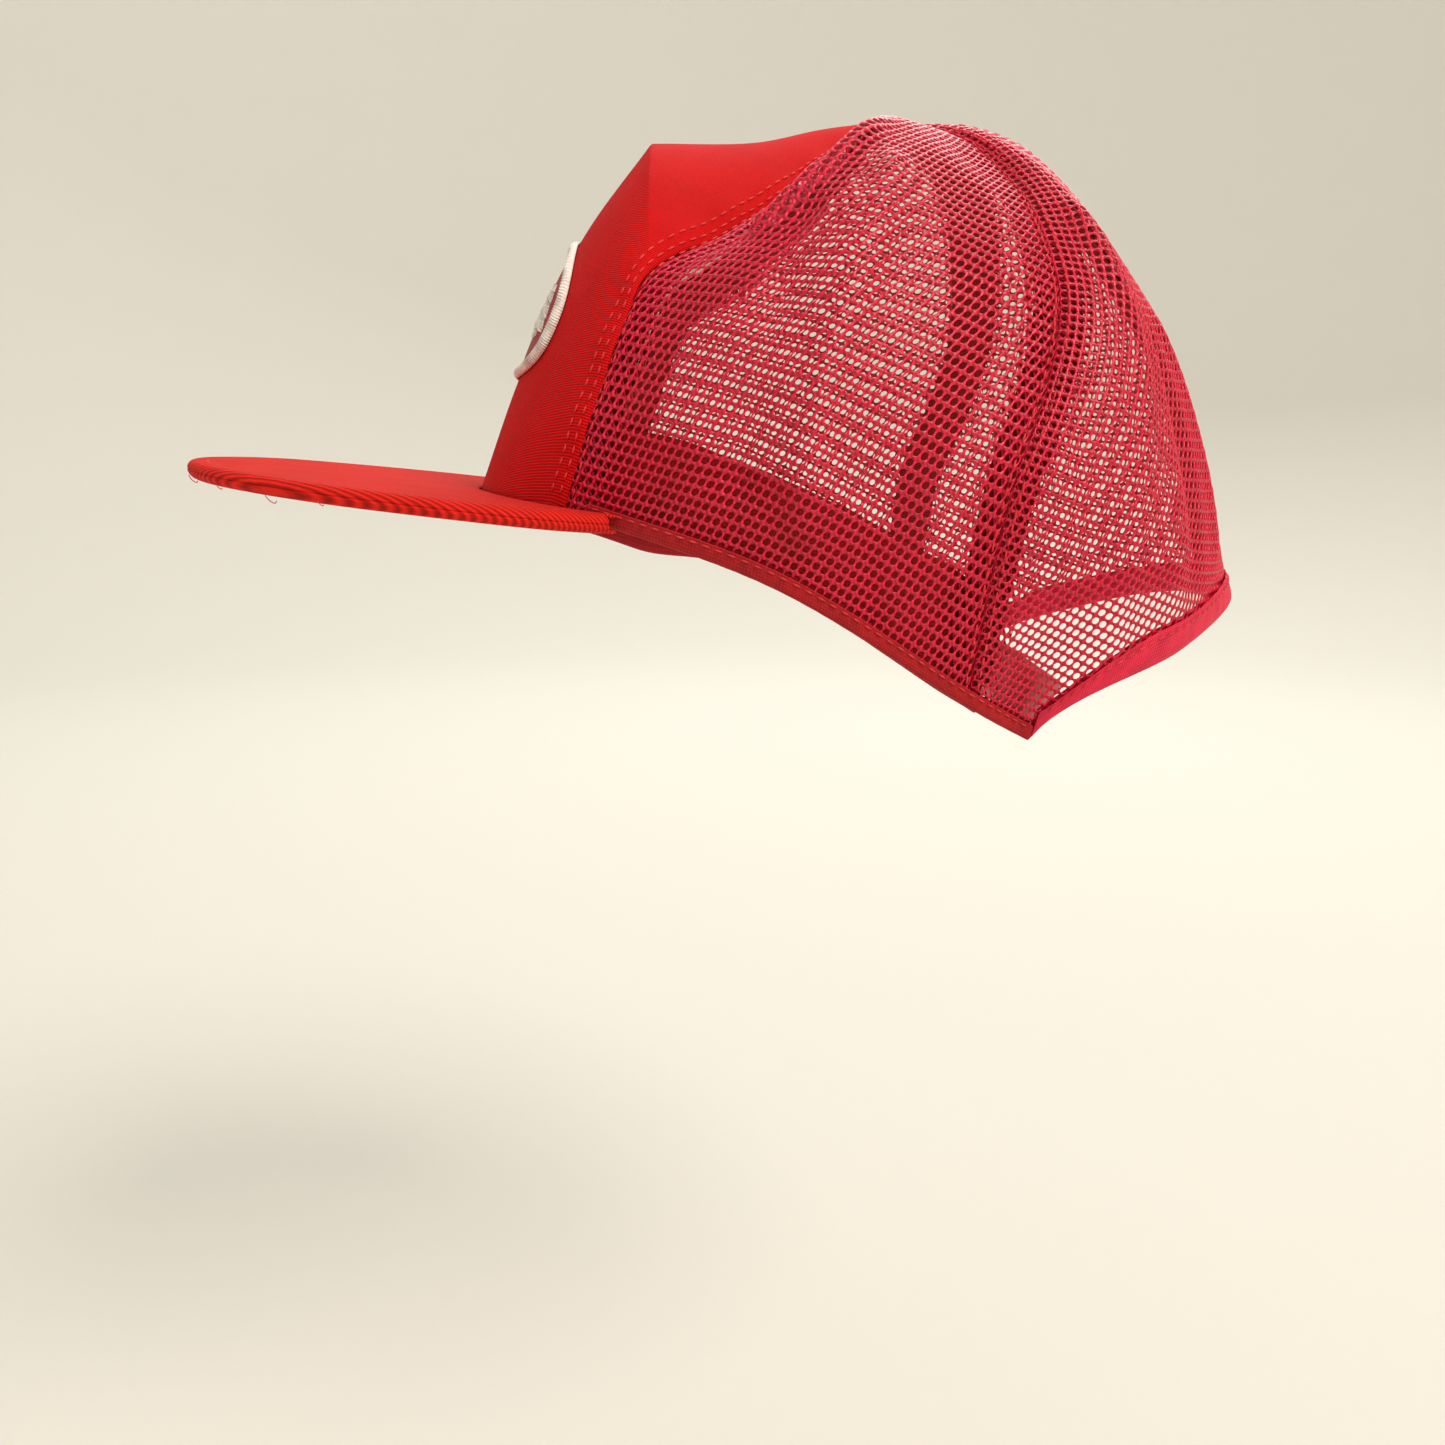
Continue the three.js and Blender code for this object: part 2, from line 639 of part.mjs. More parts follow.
// ---- Materials and assembly ---------------------------------------------------------------------

const finishes = {
  twill: { color: 0xc40c0e, roughness: 0.85 },
  billTwill: { color: 0xd8281c, roughness: 0.85 },
  mesh: { color: 0xc8143c, roughness: 0.55 },
  binding: { color: 0xd81e40, roughness: 0.7 },
  tape: { color: 0x8e0a14, roughness: 0.85 },
  sweatband: { color: 0xb00c14, roughness: 0.8 },
  backing: { color: 0xe8e2d6, roughness: 0.9 },
  board: { color: 0xd9cfb8, roughness: 0.9 },
  plastic: { color: 0xc01c30, roughness: 0.4 },
  thread: { color: 0xebdcd2, roughness: 0.6 },
  infill: { color: 0x9e0a12, roughness: 0.7 },
};

const cap = new THREE.Group();
const closure = new THREE.Group();
closure.position.copy(STRAP_CENTRE);
closure.rotation.x = STRAP_TILT;
cap.add(closure);

function addPiece(parent, name, geometry, finish) {
  const material = new THREE.MeshStandardMaterial({ ...finishes[finish], metalness: 0 });
  const mesh = new THREE.Mesh(geometry, material);
  mesh.name = name;
  parent.add(mesh);
}

function addPair(name, geometry, finish) {
  addPiece(cap, `${name}_left`, geometry, finish);
  addPiece(cap, `${name}_right`, mirrorGeometry(geometry), finish);
}

addPiece(cap, 'front_panel', frontPanel, 'twill');
addPiece(cap, 'front_backing', frontBacking, 'backing');
addPair('side_mesh', sideMesh, 'mesh');
addPair('back_mesh', backMesh, 'mesh');
addPair('front_seam_tape', frontTape, 'tape');
addPair('side_seam_tape', sideTape, 'tape');
addPiece(cap, 'back_seam_tape', backTape, 'tape');
addPiece(cap, 'opening_binding', archBinding, 'binding');
addPiece(cap, 'sweatband', sweatband, 'sweatband');
addPiece(cap, 'bill_board', billBoard, 'board');
addPiece(cap, 'bill_top_cover', billTopCover, 'billTwill');
addPiece(cap, 'bill_under_cover', billUnderCover, 'billTwill');
addPiece(cap, 'emblem_ground', emblemGround, 'infill');
addPiece(cap, 'emblem_border', emblemBorder, 'thread');
addPiece(cap, 'emblem_tree', pineTree(0, 1), 'thread');
addPair('emblem_small_tree', pineTree(SIDE_TREE_PLACE, SIDE_TREE_SCALE), 'thread');
addPiece(cap, 'strap_tab_left', strapTab(HOLE_STRAP_OUT), 'plastic');
addPiece(cap, 'strap_tab_right', mirrorGeometry(strapTab(0)), 'plastic');
addPiece(closure, 'hole_strap', toGeometry(holeStrap), 'plastic');
addPiece(closure, 'peg_strap', toGeometry(pegStrap), 'plastic');

export default cap;
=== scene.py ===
import math

import bmesh
import bpy
import numpy as np
from mathutils import Matrix, Vector


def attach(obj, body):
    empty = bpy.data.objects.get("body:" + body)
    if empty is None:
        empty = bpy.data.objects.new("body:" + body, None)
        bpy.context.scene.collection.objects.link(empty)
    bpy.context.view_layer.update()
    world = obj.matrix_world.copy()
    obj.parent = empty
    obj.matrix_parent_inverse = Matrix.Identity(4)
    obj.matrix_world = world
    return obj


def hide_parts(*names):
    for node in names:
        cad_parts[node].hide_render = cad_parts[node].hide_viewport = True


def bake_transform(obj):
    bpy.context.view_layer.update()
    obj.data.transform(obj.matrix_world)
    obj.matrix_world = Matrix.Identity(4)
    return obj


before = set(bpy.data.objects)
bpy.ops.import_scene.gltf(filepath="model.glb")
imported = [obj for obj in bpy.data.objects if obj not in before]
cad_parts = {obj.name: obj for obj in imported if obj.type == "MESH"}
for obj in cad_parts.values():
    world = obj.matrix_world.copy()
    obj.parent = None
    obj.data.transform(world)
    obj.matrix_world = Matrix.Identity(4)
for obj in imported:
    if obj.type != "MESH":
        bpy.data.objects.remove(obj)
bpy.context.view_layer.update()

bl_info = {
    "name": "Trucker Mesh Cap",
    "version": (1, 0, 0),
    "blender": (4, 5, 0),
    "location": "View3D > Sidebar > Cap",
    "description": "Builds a trucker cap in twill and net round its packed frame",
    "category": "Object",
}

MM = 0.001
HEAD = "cap_body"

# ---- The crown's shape, in millimetres, as the frame has it ---------------------------------------

APEX = (0, 26.5, 125)
FRONT_FACE = [(0, -80.5, 29.2), (0, -68.5, 60), (0, -52, 93.5), (0, -33, 118.5)]
FRONT_TOP = [(0, -33, 118.5), (0, -6, 119), (0, 10.5, 122.5), APEX]
FRONT_SEAM_FACE = [(65, -52, 26.4), (69, -46.5, 44), (69.5, -42.5, 55), (67, -37, 70), (61.5, -31.5, 80.5)]
FRONT_SEAM_TOP = [(51, -15.5, 89.5), (35, 4, 103), (19, 17.5, 113.5), APEX]
SIDE_MIDDLE = [(81.5, -3, 10), (87, -1, 40), (85, 3, 66), (73, 10, 92), (51, 17, 111), (25, 23, 121), APEX]
SIDE_SEAM = [
    (70, 43, -19), (76.5, 47, 13.5), (78.5, 51, 34), (72, 58.5, 54), (61.5, 63, 74),
    (42.5, 60, 96.5), (29.5, 56.5, 106.5), (13, 47, 119), APEX,
]
REAR_CORNER = [
    (60, 58, -28), (70, 64, 4), (74, 69, 33), (67, 75, 55), (53, 77, 78),
    (35, 70, 101), (14, 52, 119), APEX,
]
BACK_MIDDLE = [
    (47, 93, -46), (52, 97, -8), (55, 98, 18), (51, 95, 42), (41, 90, 68),
    (27, 79, 95), (10, 55, 120), APEX,
]
BACK_SEAM = [
    (0, 124, -50), (0, 125, -1), (0, 122, 9), (0, 114, 41), (0, 105, 67),
    (0, 93, 85), (0, 79, 105), (0, 64, 119), (0, 46, 124.5), APEX,
]

SHELL = 1.0
# A net panel laid flat: its width and its height from the rim to the apex.
PANEL_WIDTH = 110
PANEL_HEIGHT = 190
ARCH_START = 3 / 16
ARCH_RISE = 0.225
BINDING_WIDTH = 8
BINDING_HEM = 3
TAPE_WIDTH = 13.0
TAPE_DEPTH = -1.9
TAPE_BOTTOM = 0.03
TAPE_TOP = 0.90
ALLOWANCE = 9.0
BAND_DEPTH = 3.6
BAND_HEIGHT = 26
BAND_HEIGHT_AT_FRONT = 19
BACKING_INSET = 7.5
BACKING_DEPTH = -1.7
BACKING_TOP = 0.86

BILL_HALF_WIDTH = 87
BILL_LENGTH = 74
BILL_THICKNESS = 4.4
BILL_SLOPE = 0.11
BILL_ARCH = 0.5
BILL_TOP_AT_JOINT = 30.4
BILL_ROOT_Y = -80.5
BILL_WIDEST_Y = -62
BILL_SQUARENESS = 2.4

STRAP_WIDTH = 16
STRAP_THICKNESS = 1.2
STRAP_RADIUS = 200
STRAP_HINGE_X = 53
STRAP_END_X = 34
STRAP_TILT = math.radians(-31)
STRAP_CENTRE = Vector((0, 69, -26))
HOLE_STRAP_OUT = 1.55
SNAP_COUNT = 7
SNAP_PITCH = 9
HOLE_RADIUS = 2.4
PEG_RADIUS = 1.6
PEG_STEM = 2.3
PEG_HEAD_RADIUS = 2.05
PEG_HEAD_MIDDLE = 2.0
PEG_HEAD_HALF_HEIGHT = 1.0
# The strap's sewn end runs from the bend to under the crown's rear corner.
STRAP_TAB_LENGTH = 20
STRAP_TAB_ALONG = 0.075
STRAP_TAB_ABOVE_RIM = 2
STRAP_TAB_DEPTH = -1.7
STRAP_TAB_BOW = (0.56, 0.4, -0.4)
STRAP_TIP_ROUND = 5

EMBLEM_HALF_WIDTH = 40
EMBLEM_HALF_HEIGHT = 19.5
EMBLEM_HEIGHT_ON_FACE = 51
EMBLEM_SQUARENESS = 2.4
EMBLEM_BORDER = 4
EMBLEM_BORDER_STITCHES = 176
SATIN_ROW = 0.35
SATIN_LENGTH = 2.0
TREE_HALF_OUTLINE = [(0, 11), (5, 5), (2.5, 5), (8, 0), (4, 0), (11, -6), (1.8, -6), (1.8, -10)]
SIDE_TREE_PLACE = 22.5
SIDE_TREE_SCALE = 0.72


# ---- Curves and surfaces --------------------------------------------------------------------------


def spline(points, places):
    """Points of a centripetal curve at places from 0 to 1, counted by span."""
    points = np.asarray(points, float)
    padded = np.vstack([2 * points[0] - points[1], points, 2 * points[-1] - points[-2]])
    last = len(points) - 1
    at = np.clip(np.atleast_1d(places) * last, 0, last)
    span = np.minimum(at.astype(int), last - 1)
    w = (at - span)[:, None]
    before, start, end, after = (padded[span + k] for k in range(4))

    def gap(a, b):
        return np.maximum((((b - a) ** 2).sum(1)) ** 0.25, 1e-4)[:, None]

    g0, g1, g2 = gap(before, start), gap(start, end), gap(end, after)
    leave = ((start - before) / g0 - (end - before) / (g0 + g1) + (end - start) / g1) * g1
    reach = ((end - start) / g1 - (after - start) / (g1 + g2) + (after - end) / g2) * g1
    square = -3 * start + 3 * end - 2 * leave - reach
    cube = 2 * start - 2 * end + leave + reach
    return start + leave * w + square * w**2 + cube * w**3


class Line:
    """A curve through points, read at even shares of its length."""

    def __init__(self, points):
        self.points = np.asarray(points, float)
        self.places = np.linspace(0, 1, 201)
        steps = np.linalg.norm(np.diff(spline(self.points, self.places), axis=0), axis=1)
        self.travel = np.concatenate([[0], np.cumsum(steps)])
        self.length = self.travel[-1]

    def at(self, share):
        place = np.interp(np.atleast_1d(share) * self.length, self.travel, self.places)
        return spline(self.points, place)


def mirrored(points):
    return np.asarray(points, float) * (-1, 1, 1)


FRONT_FACE_LINE = Line(FRONT_FACE)
FRONT_TOP_LINE = Line(FRONT_TOP)
FRONT_SEAM_LINE = Line(FRONT_SEAM_FACE + FRONT_SEAM_TOP)
SIDE_LINES = [FRONT_SEAM_LINE] + [
    Line(points) for points in (SIDE_MIDDLE, SIDE_SEAM, REAR_CORNER, BACK_MIDDLE, BACK_SEAM)]
SHOULDER = Line(FRONT_SEAM_FACE).length / FRONT_SEAM_LINE.length


def smoothstep(low, high, value):
    t = np.clip((value - low) / (high - low), 0, 1)
    return t * t * (3 - 2 * t)


class Panel:
    """A crown panel as a table of points: along from seam to seam, up from the rim to the apex."""

    def __init__(self, alongs, ups, points, height):
        self.alongs, self.ups, self.points, self.height = alongs, ups, points, height
        across = np.gradient(points, alongs, axis=0)
        upward = np.gradient(points, ups, axis=1)
        normals = np.cross(across, upward)
        normals[:, -1] = normals[:, -2]
        normals /= np.maximum(np.linalg.norm(normals, axis=2, keepdims=True), 1e-9)
        # All panels meet at the apex, where each takes the same upright direction.
        top = smoothstep(0.93, 0.985, ups)[None, :, None]
        self.normals = normals * (1 - top) + np.array((0, 0, 1.0)) * top
        self.widths = np.linalg.norm(np.diff(points, axis=0), axis=2).sum(0)

    def read(self, table, along, up):
        a = np.interp(along, self.alongs, np.arange(len(self.alongs)))
        u = np.interp(up, self.ups, np.arange(len(self.ups)))
        i = np.minimum(a.astype(int), len(self.alongs) - 2)
        j = np.minimum(u.astype(int), len(self.ups) - 2)
        s, t = (a - i)[:, None], (u - j)[:, None]
        low = table[i, j] * (1 - s) + table[i + 1, j] * s
        high = table[i, j + 1] * (1 - s) + table[i + 1, j + 1] * s
        return low * (1 - t) + high * t

    def width(self, up):
        return np.interp(up, self.ups, self.widths)

    def at(self, along, up, out=0.0):
        along, up = np.broadcast_arrays(np.atleast_1d(along).astype(float), np.atleast_1d(up).astype(float))
        normal = self.read(self.normals, along, up)
        normal /= np.maximum(np.linalg.norm(normal, axis=1, keepdims=True), 1e-9)
        return self.read(self.points, along, up) + normal * np.broadcast_to(out, along.shape)[:, None]

    def flat_area(self):
        return float(np.trapz(self.widths, self.ups) * self.height)


def side_and_back_panels():
    ups = np.linspace(0, 1, 181)
    shares = np.linspace(0, 1, 97)
    side = np.zeros((97, 181, 3))
    back = np.zeros((97, 181, 3))
    for j, up in enumerate(ups):
        stations = [line.at(up)[0] for line in SIDE_LINES]
        stations.append(stations[-2] * (-1, 1, 1))
        ring = spline(stations, np.linspace(0, 5 / 6, 81))
        travel = np.concatenate([[0], np.cumsum(np.linalg.norm(np.diff(ring, axis=0), axis=1))])
        seam, end = travel[32], travel[80]
        for k in range(3):
            side[:, j, k] = np.interp(shares * seam, travel, ring[:, k])
            back[:, j, k] = np.interp(seam + shares * (end - seam), travel, ring[:, k])
    return (
        Panel(shares, ups, side, SIDE_LINES[1].length),
        Panel(shares, ups, back, SIDE_LINES[5].length),
    )


def front_panel_surface():
    ups = np.concatenate([np.linspace(0, SHOULDER, 90), np.linspace(SHOULDER, 1, 90)[1:]])
    alongs = np.linspace(-1, 1, 129)
    below = ups <= SHOULDER
    centre = np.where(
        below[:, None],
        FRONT_FACE_LINE.at(np.minimum(ups / SHOULDER, 1)),
        FRONT_TOP_LINE.at(np.clip((ups - SHOULDER) / (1 - SHOULDER), 0, 1)),
    )
    edge = FRONT_SEAM_LINE.at(ups)
    bow = (alongs**2)[:, None, None]
    points = centre * (1 - bow) + edge * bow
    points[:, :, 0] = edge[:, 0] * alongs[:, None]
    return Panel(alongs, ups, points, FRONT_SEAM_LINE.length)


FRONT = front_panel_surface()
SIDE, BACK = side_and_back_panels()


def arch_edge(along):
    reach = np.minimum((1 - along) / (1 - ARCH_START), 1)
    return ARCH_RISE * np.maximum(1 - reach**2.6, 0) ** 0.8


def binding_top(along):
    full = smoothstep(ARCH_START, ARCH_START + 0.25, along)
    width = BINDING_HEM + (BINDING_WIDTH - BINDING_HEM) * full
    rise = (arch_edge(np.minimum(along + 0.01, 1)) - arch_edge(along)) * BACK.height
    run = 0.01 * BACK.width(arch_edge(along))
    top = arch_edge(along) + width * np.hypot(1, rise / run) / BACK.height
    return np.where(along < ARCH_START, 0, top)


def seam_dip(distance):
    """How far cloth is drawn in where it is sewn down, at a distance from the seam in millimetres."""
    return -0.9 * np.exp(-((distance / 1.7) ** 2))


def crease(along, up, points, width, depth):
    """A soft fold through points given along and up a panel, its width and depth in millimetres."""
    total = np.zeros_like(along)
    for (a0, u0), (a1, u1) in zip(points, points[1:]):
        px, py = (along - a0) * PANEL_WIDTH, (up - u0) * PANEL_HEIGHT
        dx, dy = (a1 - a0) * PANEL_WIDTH, (u1 - u0) * PANEL_HEIGHT
        t = np.clip((px * dx + py * dy) / (dx * dx + dy * dy), 0, 1)
        away = np.hypot(px - t * dx, py - t * dy)
        total = np.maximum(total, np.exp(-((away / width) ** 2)))
    return depth * total


# Folds of the slack net: the points each runs through, along and up, then its width and its height.
SIDE_FOLDS = (
    ([(0.03, 0.40), (0.16, 0.60), (0.20, 0.84)], 5, -3.6),
    ([(0.18, 0.50), (0.32, 0.66), (0.40, 0.84)], 4.5, 2.8),
    ([(0.52, 0.10), (0.50, 0.36), (0.46, 0.62)], 4.5, 2.4),
    ([(0.36, 0.12), (0.36, 0.36), (0.30, 0.50)], 7, -2.4),
    ([(0.72, 0.04), (0.66, 0.18)], 5, -1.0),
)
BACK_FOLDS = (
    ([(0.30, 0.16), (0.26, 0.45), (0.20, 0.66)], 5, 1.5),
    ([(0.52, 0.26), (0.46, 0.52), (0.44, 0.70)], 5, -1.5),
    ([(0.70, 0.30), (0.64, 0.55)], 5, 1.2),
)


def net_relief(panel, along, up):
    """Folds and ripples of a net panel in millimetres, fading towards its seams and the crown's top."""
    if panel is SIDE:
        folds = SIDE_FOLDS
        ripple = 0.5 * np.sin(along * 17 + up * 9) * np.sin(up * 21 + 1.3) * smoothstep(0, 0.1, up)
    else:
        folds = BACK_FOLDS
        ripple = 0.45 * np.sin(along * 15 + 2 + up * 7) * np.sin(up * 19)
    relief = sum(crease(along, up, *fold) for fold in folds) + ripple
    seams = smoothstep(0.03, 0.15, along) * smoothstep(0.03, 0.15, 1 - along)
    return relief * seams * smoothstep(0.14, 0.32, 1 - up)


def crown_at(panel, along, up, out):
    """A place on a panel with its folds and the dip at its seams."""
    width = np.maximum(panel.width(up), 1.0)
    if panel is FRONT:
        edge = (1 - np.abs(along)) * width / 2
        relief = 0.25 * np.sin(up * 60) * np.exp(-((edge / 9) ** 2))
    else:
        edge = np.minimum(along, 1 - along) * width
        relief = net_relief(panel, along, up)
    return panel.at(along, up, out + relief + seam_dip(edge))


# ---- Mesh helpers ---------------------------------------------------------------------------------


def grid(columns, rows):
    """A flat grid whose corners are at 0, 0 and 1, 1."""
    bm = bmesh.new()
    bmesh.ops.create_grid(bm, x_segments=columns, y_segments=rows, size=0.5)
    bmesh.ops.translate(bm, verts=bm.verts, vec=(0.5, 0.5, 0))
    return bm


def coordinates(bm):
    return np.array([v.co for v in bm.verts], float).reshape(-1, 3)


def lay(bm, place, side=1):
    """Move every vertex to place(x, y, z) in millimetres, and keep its cloth place as the UV map.

    place gives points and cloth coordinates. side -1 lays the piece on the other side of the cap.
    """
    points, cloth = place(*coordinates(bm).T)
    points = points * (side * MM, MM, MM)
    draft = bpy.data.meshes.new("draft")
    bm.to_mesh(draft)
    draft.vertices.foreach_set("co", points.ravel())
    corners = np.zeros(len(draft.loops), int)
    draft.loops.foreach_get("vertex_index", corners)
    draft.uv_layers.new(name="Cloth").data.foreach_set("uv", cloth[corners].ravel())
    bm.clear()
    bm.from_mesh(draft)
    bpy.data.meshes.remove(draft)
    if side < 0:
        bmesh.ops.reverse_faces(bm, faces=bm.faces)


def piece(bm, name, material, thickness=0.0, offset=0.0, subdivide=0, body=HEAD, bevel=0.0):
    """Turn a bmesh into a finished piece that rides on a body."""
    mesh = bpy.data.meshes.new(name)
    bm.to_mesh(mesh)
    bm.free()
    mesh.materials.append(material)
    for polygon in mesh.polygons:
        polygon.use_smooth = True
    made = bpy.data.objects.new(name, mesh)
    bpy.context.scene.collection.objects.link(made)
    if thickness:
        wall = made.modifiers.new("Thickness", "SOLIDIFY")
        wall.thickness = thickness * MM
        wall.offset = offset
        wall.use_even_offset = True
    if bevel:
        edge = made.modifiers.new("Edge", "BEVEL")
        edge.width = bevel * MM
        edge.segments = 2
        edge.limit_method = "ANGLE"
        edge.angle_limit = math.radians(40)
    if subdivide:
        finer = made.modifiers.new("Smooth", "SUBSURF")
        finer.levels = finer.render_levels = subdivide
    if body:
        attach(made, body)
    return made


def sew(bm, path, normals, length=2.3, gap=0.9, radius=0.28, sink=0.05, side=1):
    """A row of stitches along a path, each a short rounded thread lying on the cloth."""
    flip = np.array((side, 1, 1))
    path, normals = path * flip, normals * flip
    travel = np.concatenate([[0], np.cumsum(np.linalg.norm(np.diff(path, axis=0), axis=1))])
    single = bmesh.new()
    bmesh.ops.create_uvsphere(single, u_segments=6, v_segments=4, radius=1)
    scratch = bpy.data.meshes.new("stitch")
    for middle in np.arange((length + gap) / 2, travel[-1] - length / 2, length + gap):
        point, ahead, normal = (
            np.array([np.interp(t, travel, data[:, k]) for k in range(3)])
            for t, data in ((middle, path), (middle + 0.3, path), (middle, normals))
        )
        tangent = Vector(ahead - point).normalized()
        across = Vector(normal).normalized().cross(tangent).normalized()
        out = tangent.cross(across)
        turn = Matrix((tangent, across, out)).transposed().to_4x4()
        size = Matrix.Diagonal((length / 2 * MM, radius * MM, radius * 0.8 * MM, 1))
        where = Matrix.Translation((Vector(point) + out * (radius * 0.5 - sink)) * MM)
        stitch = single.copy()
        stitch.transform(where @ turn @ size)
        stitch.to_mesh(scratch)
        stitch.free()
        bm.from_mesh(scratch)
    single.free()
    bpy.data.meshes.remove(scratch)


# ---- Materials ------------------------------------------------------------------------------------


def linear(colour):
    """An sRGB hex colour as linear red, green, blue and alpha."""
    parts = [int(colour[k:k + 2], 16) / 255 for k in (1, 3, 5)]
    return [p / 12.92 if p <= 0.04045 else ((p + 0.055) / 1.055) ** 2.4 for p in parts] + [1.0]


def add(tree, kind, inputs=None, stops=(), **settings):
    """Add a node: settings are its properties, inputs its sockets' values or links, stops its colours."""
    made = tree.nodes.new(kind)
    for name, value in settings.items():
        setattr(made, name, value)
    for name, value in (inputs or {}).items():
        socket = made.inputs[name]
        if isinstance(value, bpy.types.NodeSocket):
            tree.links.new(value, socket)
        else:
            socket.default_value = value
    for k, (place, colour) in enumerate(stops):
        # A new ramp has two stops.
        stop = made.color_ramp.elements[k] if k < 2 else made.color_ramp.elements.new(place)
        stop.position = place
        stop.color = linear(colour)
    return made


def fresh(name):
    """A new material with a surface shader, and its node tree."""
    material = bpy.data.materials.new(name)
    material.use_nodes = True
    tree = material.node_tree
    tree.nodes.clear()
    shader = add(tree, "ShaderNodeBsdfPrincipled")
    add(tree, "ShaderNodeOutputMaterial", {"Surface": shader.outputs["BSDF"]})
    return material, tree, shader


def twill(name, dark, plain, light, rib, rough, relief, lean=1.0):
    """Woven cotton twill: slanting ribs of a given width in millimetres, a matt face with a faint bloom.

    The ribs catch light on one flank, and this is painted into the colour as a painted highlight on each rib
    with painted shade between, so the cloth looks finely ridged close to and soft from afar.
    """
    material, tree, shader = fresh(name)
    cloth = add(tree, "ShaderNodeUVMap", uv_map="Cloth").outputs["UV"]
    turn = add(tree, "ShaderNodeMapping", {"Vector": cloth, "Rotation": (0, 0, lean * math.radians(58))})
    # A wave repeats every 2 pi / (20 * scale) units, and the cloth map is in millimetres.
    ribs = add(
        tree, "ShaderNodeTexWave",
        {"Vector": turn.outputs["Vector"], "Scale": math.tau / 20 / rib, "Distortion": 1.2,
         "Detail": 2.0, "Detail Scale": 1.6, "Detail Roughness": 0.6},
        wave_type="BANDS", bands_direction="X", wave_profile="SIN",
    ).outputs["Fac"]
    yarn = add(tree, "ShaderNodeTexNoise", {"Vector": cloth, "Scale": 1.7, "Detail": 3.0, "Roughness": 0.7})
    broad = add(
        tree, "ShaderNodeTexNoise", {"Vector": cloth, "Scale": 0.055, "Detail": 3.0, "Roughness": 0.6}
    )
    # The ribs' share of the tone is painted light: painted highlight on the ribs, painted shade between them.
    # The yarn and broad noise add random tone.
    tone = add(tree, "ShaderNodeMath", {0: ribs, 1: 0.62}, operation="MULTIPLY").outputs[0]
    tone = add(
        tree, "ShaderNodeMath", {0: yarn.outputs["Fac"], 1: 0.30, 2: tone}, operation="MULTIPLY_ADD"
    ).outputs[0]
    tone = add(
        tree, "ShaderNodeMath", {0: broad.outputs["Fac"], 1: 0.30, 2: tone}, operation="MULTIPLY_ADD"
    ).outputs[0]
    tone = add(tree, "ShaderNodeMath", {0: tone, 1: 0.12}, operation="SUBTRACT").outputs[0]
    colour = add(
        tree, "ShaderNodeValToRGB", {"Fac": tone},
        [(0.12, dark), (0.48, plain), (0.95, light)]
    ).outputs["Color"]
    height = add(
        tree, "ShaderNodeMath", {0: yarn.outputs["Fac"], 1: 0.45, 2: ribs}, operation="MULTIPLY_ADD"
    ).outputs[0]
    bump = add(tree, "ShaderNodeBump", {"Height": height, "Strength": relief, "Distance": 0.25 * MM})
    tree.links.new(colour, shader.inputs["Base Color"])
    tree.links.new(bump.outputs["Normal"], shader.inputs["Normal"])
    shader.inputs["Roughness"].default_value = rough
    shader.inputs["Specular IOR Level"].default_value = 0.14
    shader.inputs["Sheen Weight"].default_value = 0.05
    shader.inputs["Sheen Roughness"].default_value = 0.5
    shader.inputs["Sheen Tint"].default_value = linear(light)
    return material


def net_thread(name, dark, plain, light):
    """Warp-knitted polyester: filament loops with a slight sheen, and painted highlights in the colour along
    the loops and, brightest, as painted glints on the thin cross links.
    """
    material, tree, shader = fresh(name)
    cell = add(tree, "ShaderNodeUVMap", uv_map="Cloth").outputs["UV"]
    split = add(tree, "ShaderNodeSeparateXYZ", {"Vector": cell})
    # The map counts holes: whole numbers across fall on the links, whole numbers up on the knitted rows.
    nearest = add(tree, "ShaderNodeMath", {0: split.outputs["Y"], 1: 0.5}, operation="PINGPONG").outputs[0]
    link = add(tree, "ShaderNodeMapRange", {"Value": nearest, "From Min": 0.10, "From Max": 0.34})
    loops = add(
        tree, "ShaderNodeTexWave",
        {"Vector": cell, "Scale": math.tau / 20 * 3.0, "Distortion": 2.5, "Detail": 2.0},
        wave_type="BANDS", bands_direction="DIAGONAL", wave_profile="SIN",
    ).outputs["Fac"]
    patches = add(
        tree, "ShaderNodeTexNoise", {"Vector": cell, "Scale": 0.35, "Detail": 4.0, "Roughness": 0.65}
    )
    # Painted glints: the thin links away from the knitted rows and the loops' crests are painted lighter, so
    # the rows stay darker. The patches are random tone.
    tone = add(tree, "ShaderNodeMath", {0: link.outputs["Result"], 1: 0.34}, operation="MULTIPLY").outputs[0]
    tone = add(tree, "ShaderNodeMath", {0: loops, 1: 0.28, 2: tone}, operation="MULTIPLY_ADD").outputs[0]
    tone = add(
        tree, "ShaderNodeMath", {0: patches.outputs["Fac"], 1: 0.34, 2: tone}, operation="MULTIPLY_ADD"
    ).outputs[0]
    colour = add(
        tree, "ShaderNodeValToRGB", {"Fac": tone},
        [(0.15, dark), (0.42, plain), (0.64, plain), (0.86, light)]
    ).outputs["Color"]
    bump = add(tree, "ShaderNodeBump", {"Height": loops, "Strength": 0.5, "Distance": 0.15 * MM})
    tree.links.new(colour, shader.inputs["Base Color"])
    tree.links.new(bump.outputs["Normal"], shader.inputs["Normal"])
    shader.inputs["Roughness"].default_value = 0.36
    shader.inputs["Specular IOR Level"].default_value = 0.4
    shader.inputs["Sheen Weight"].default_value = 0.06
    shader.inputs["Sheen Tint"].default_value = linear(light)
    return material


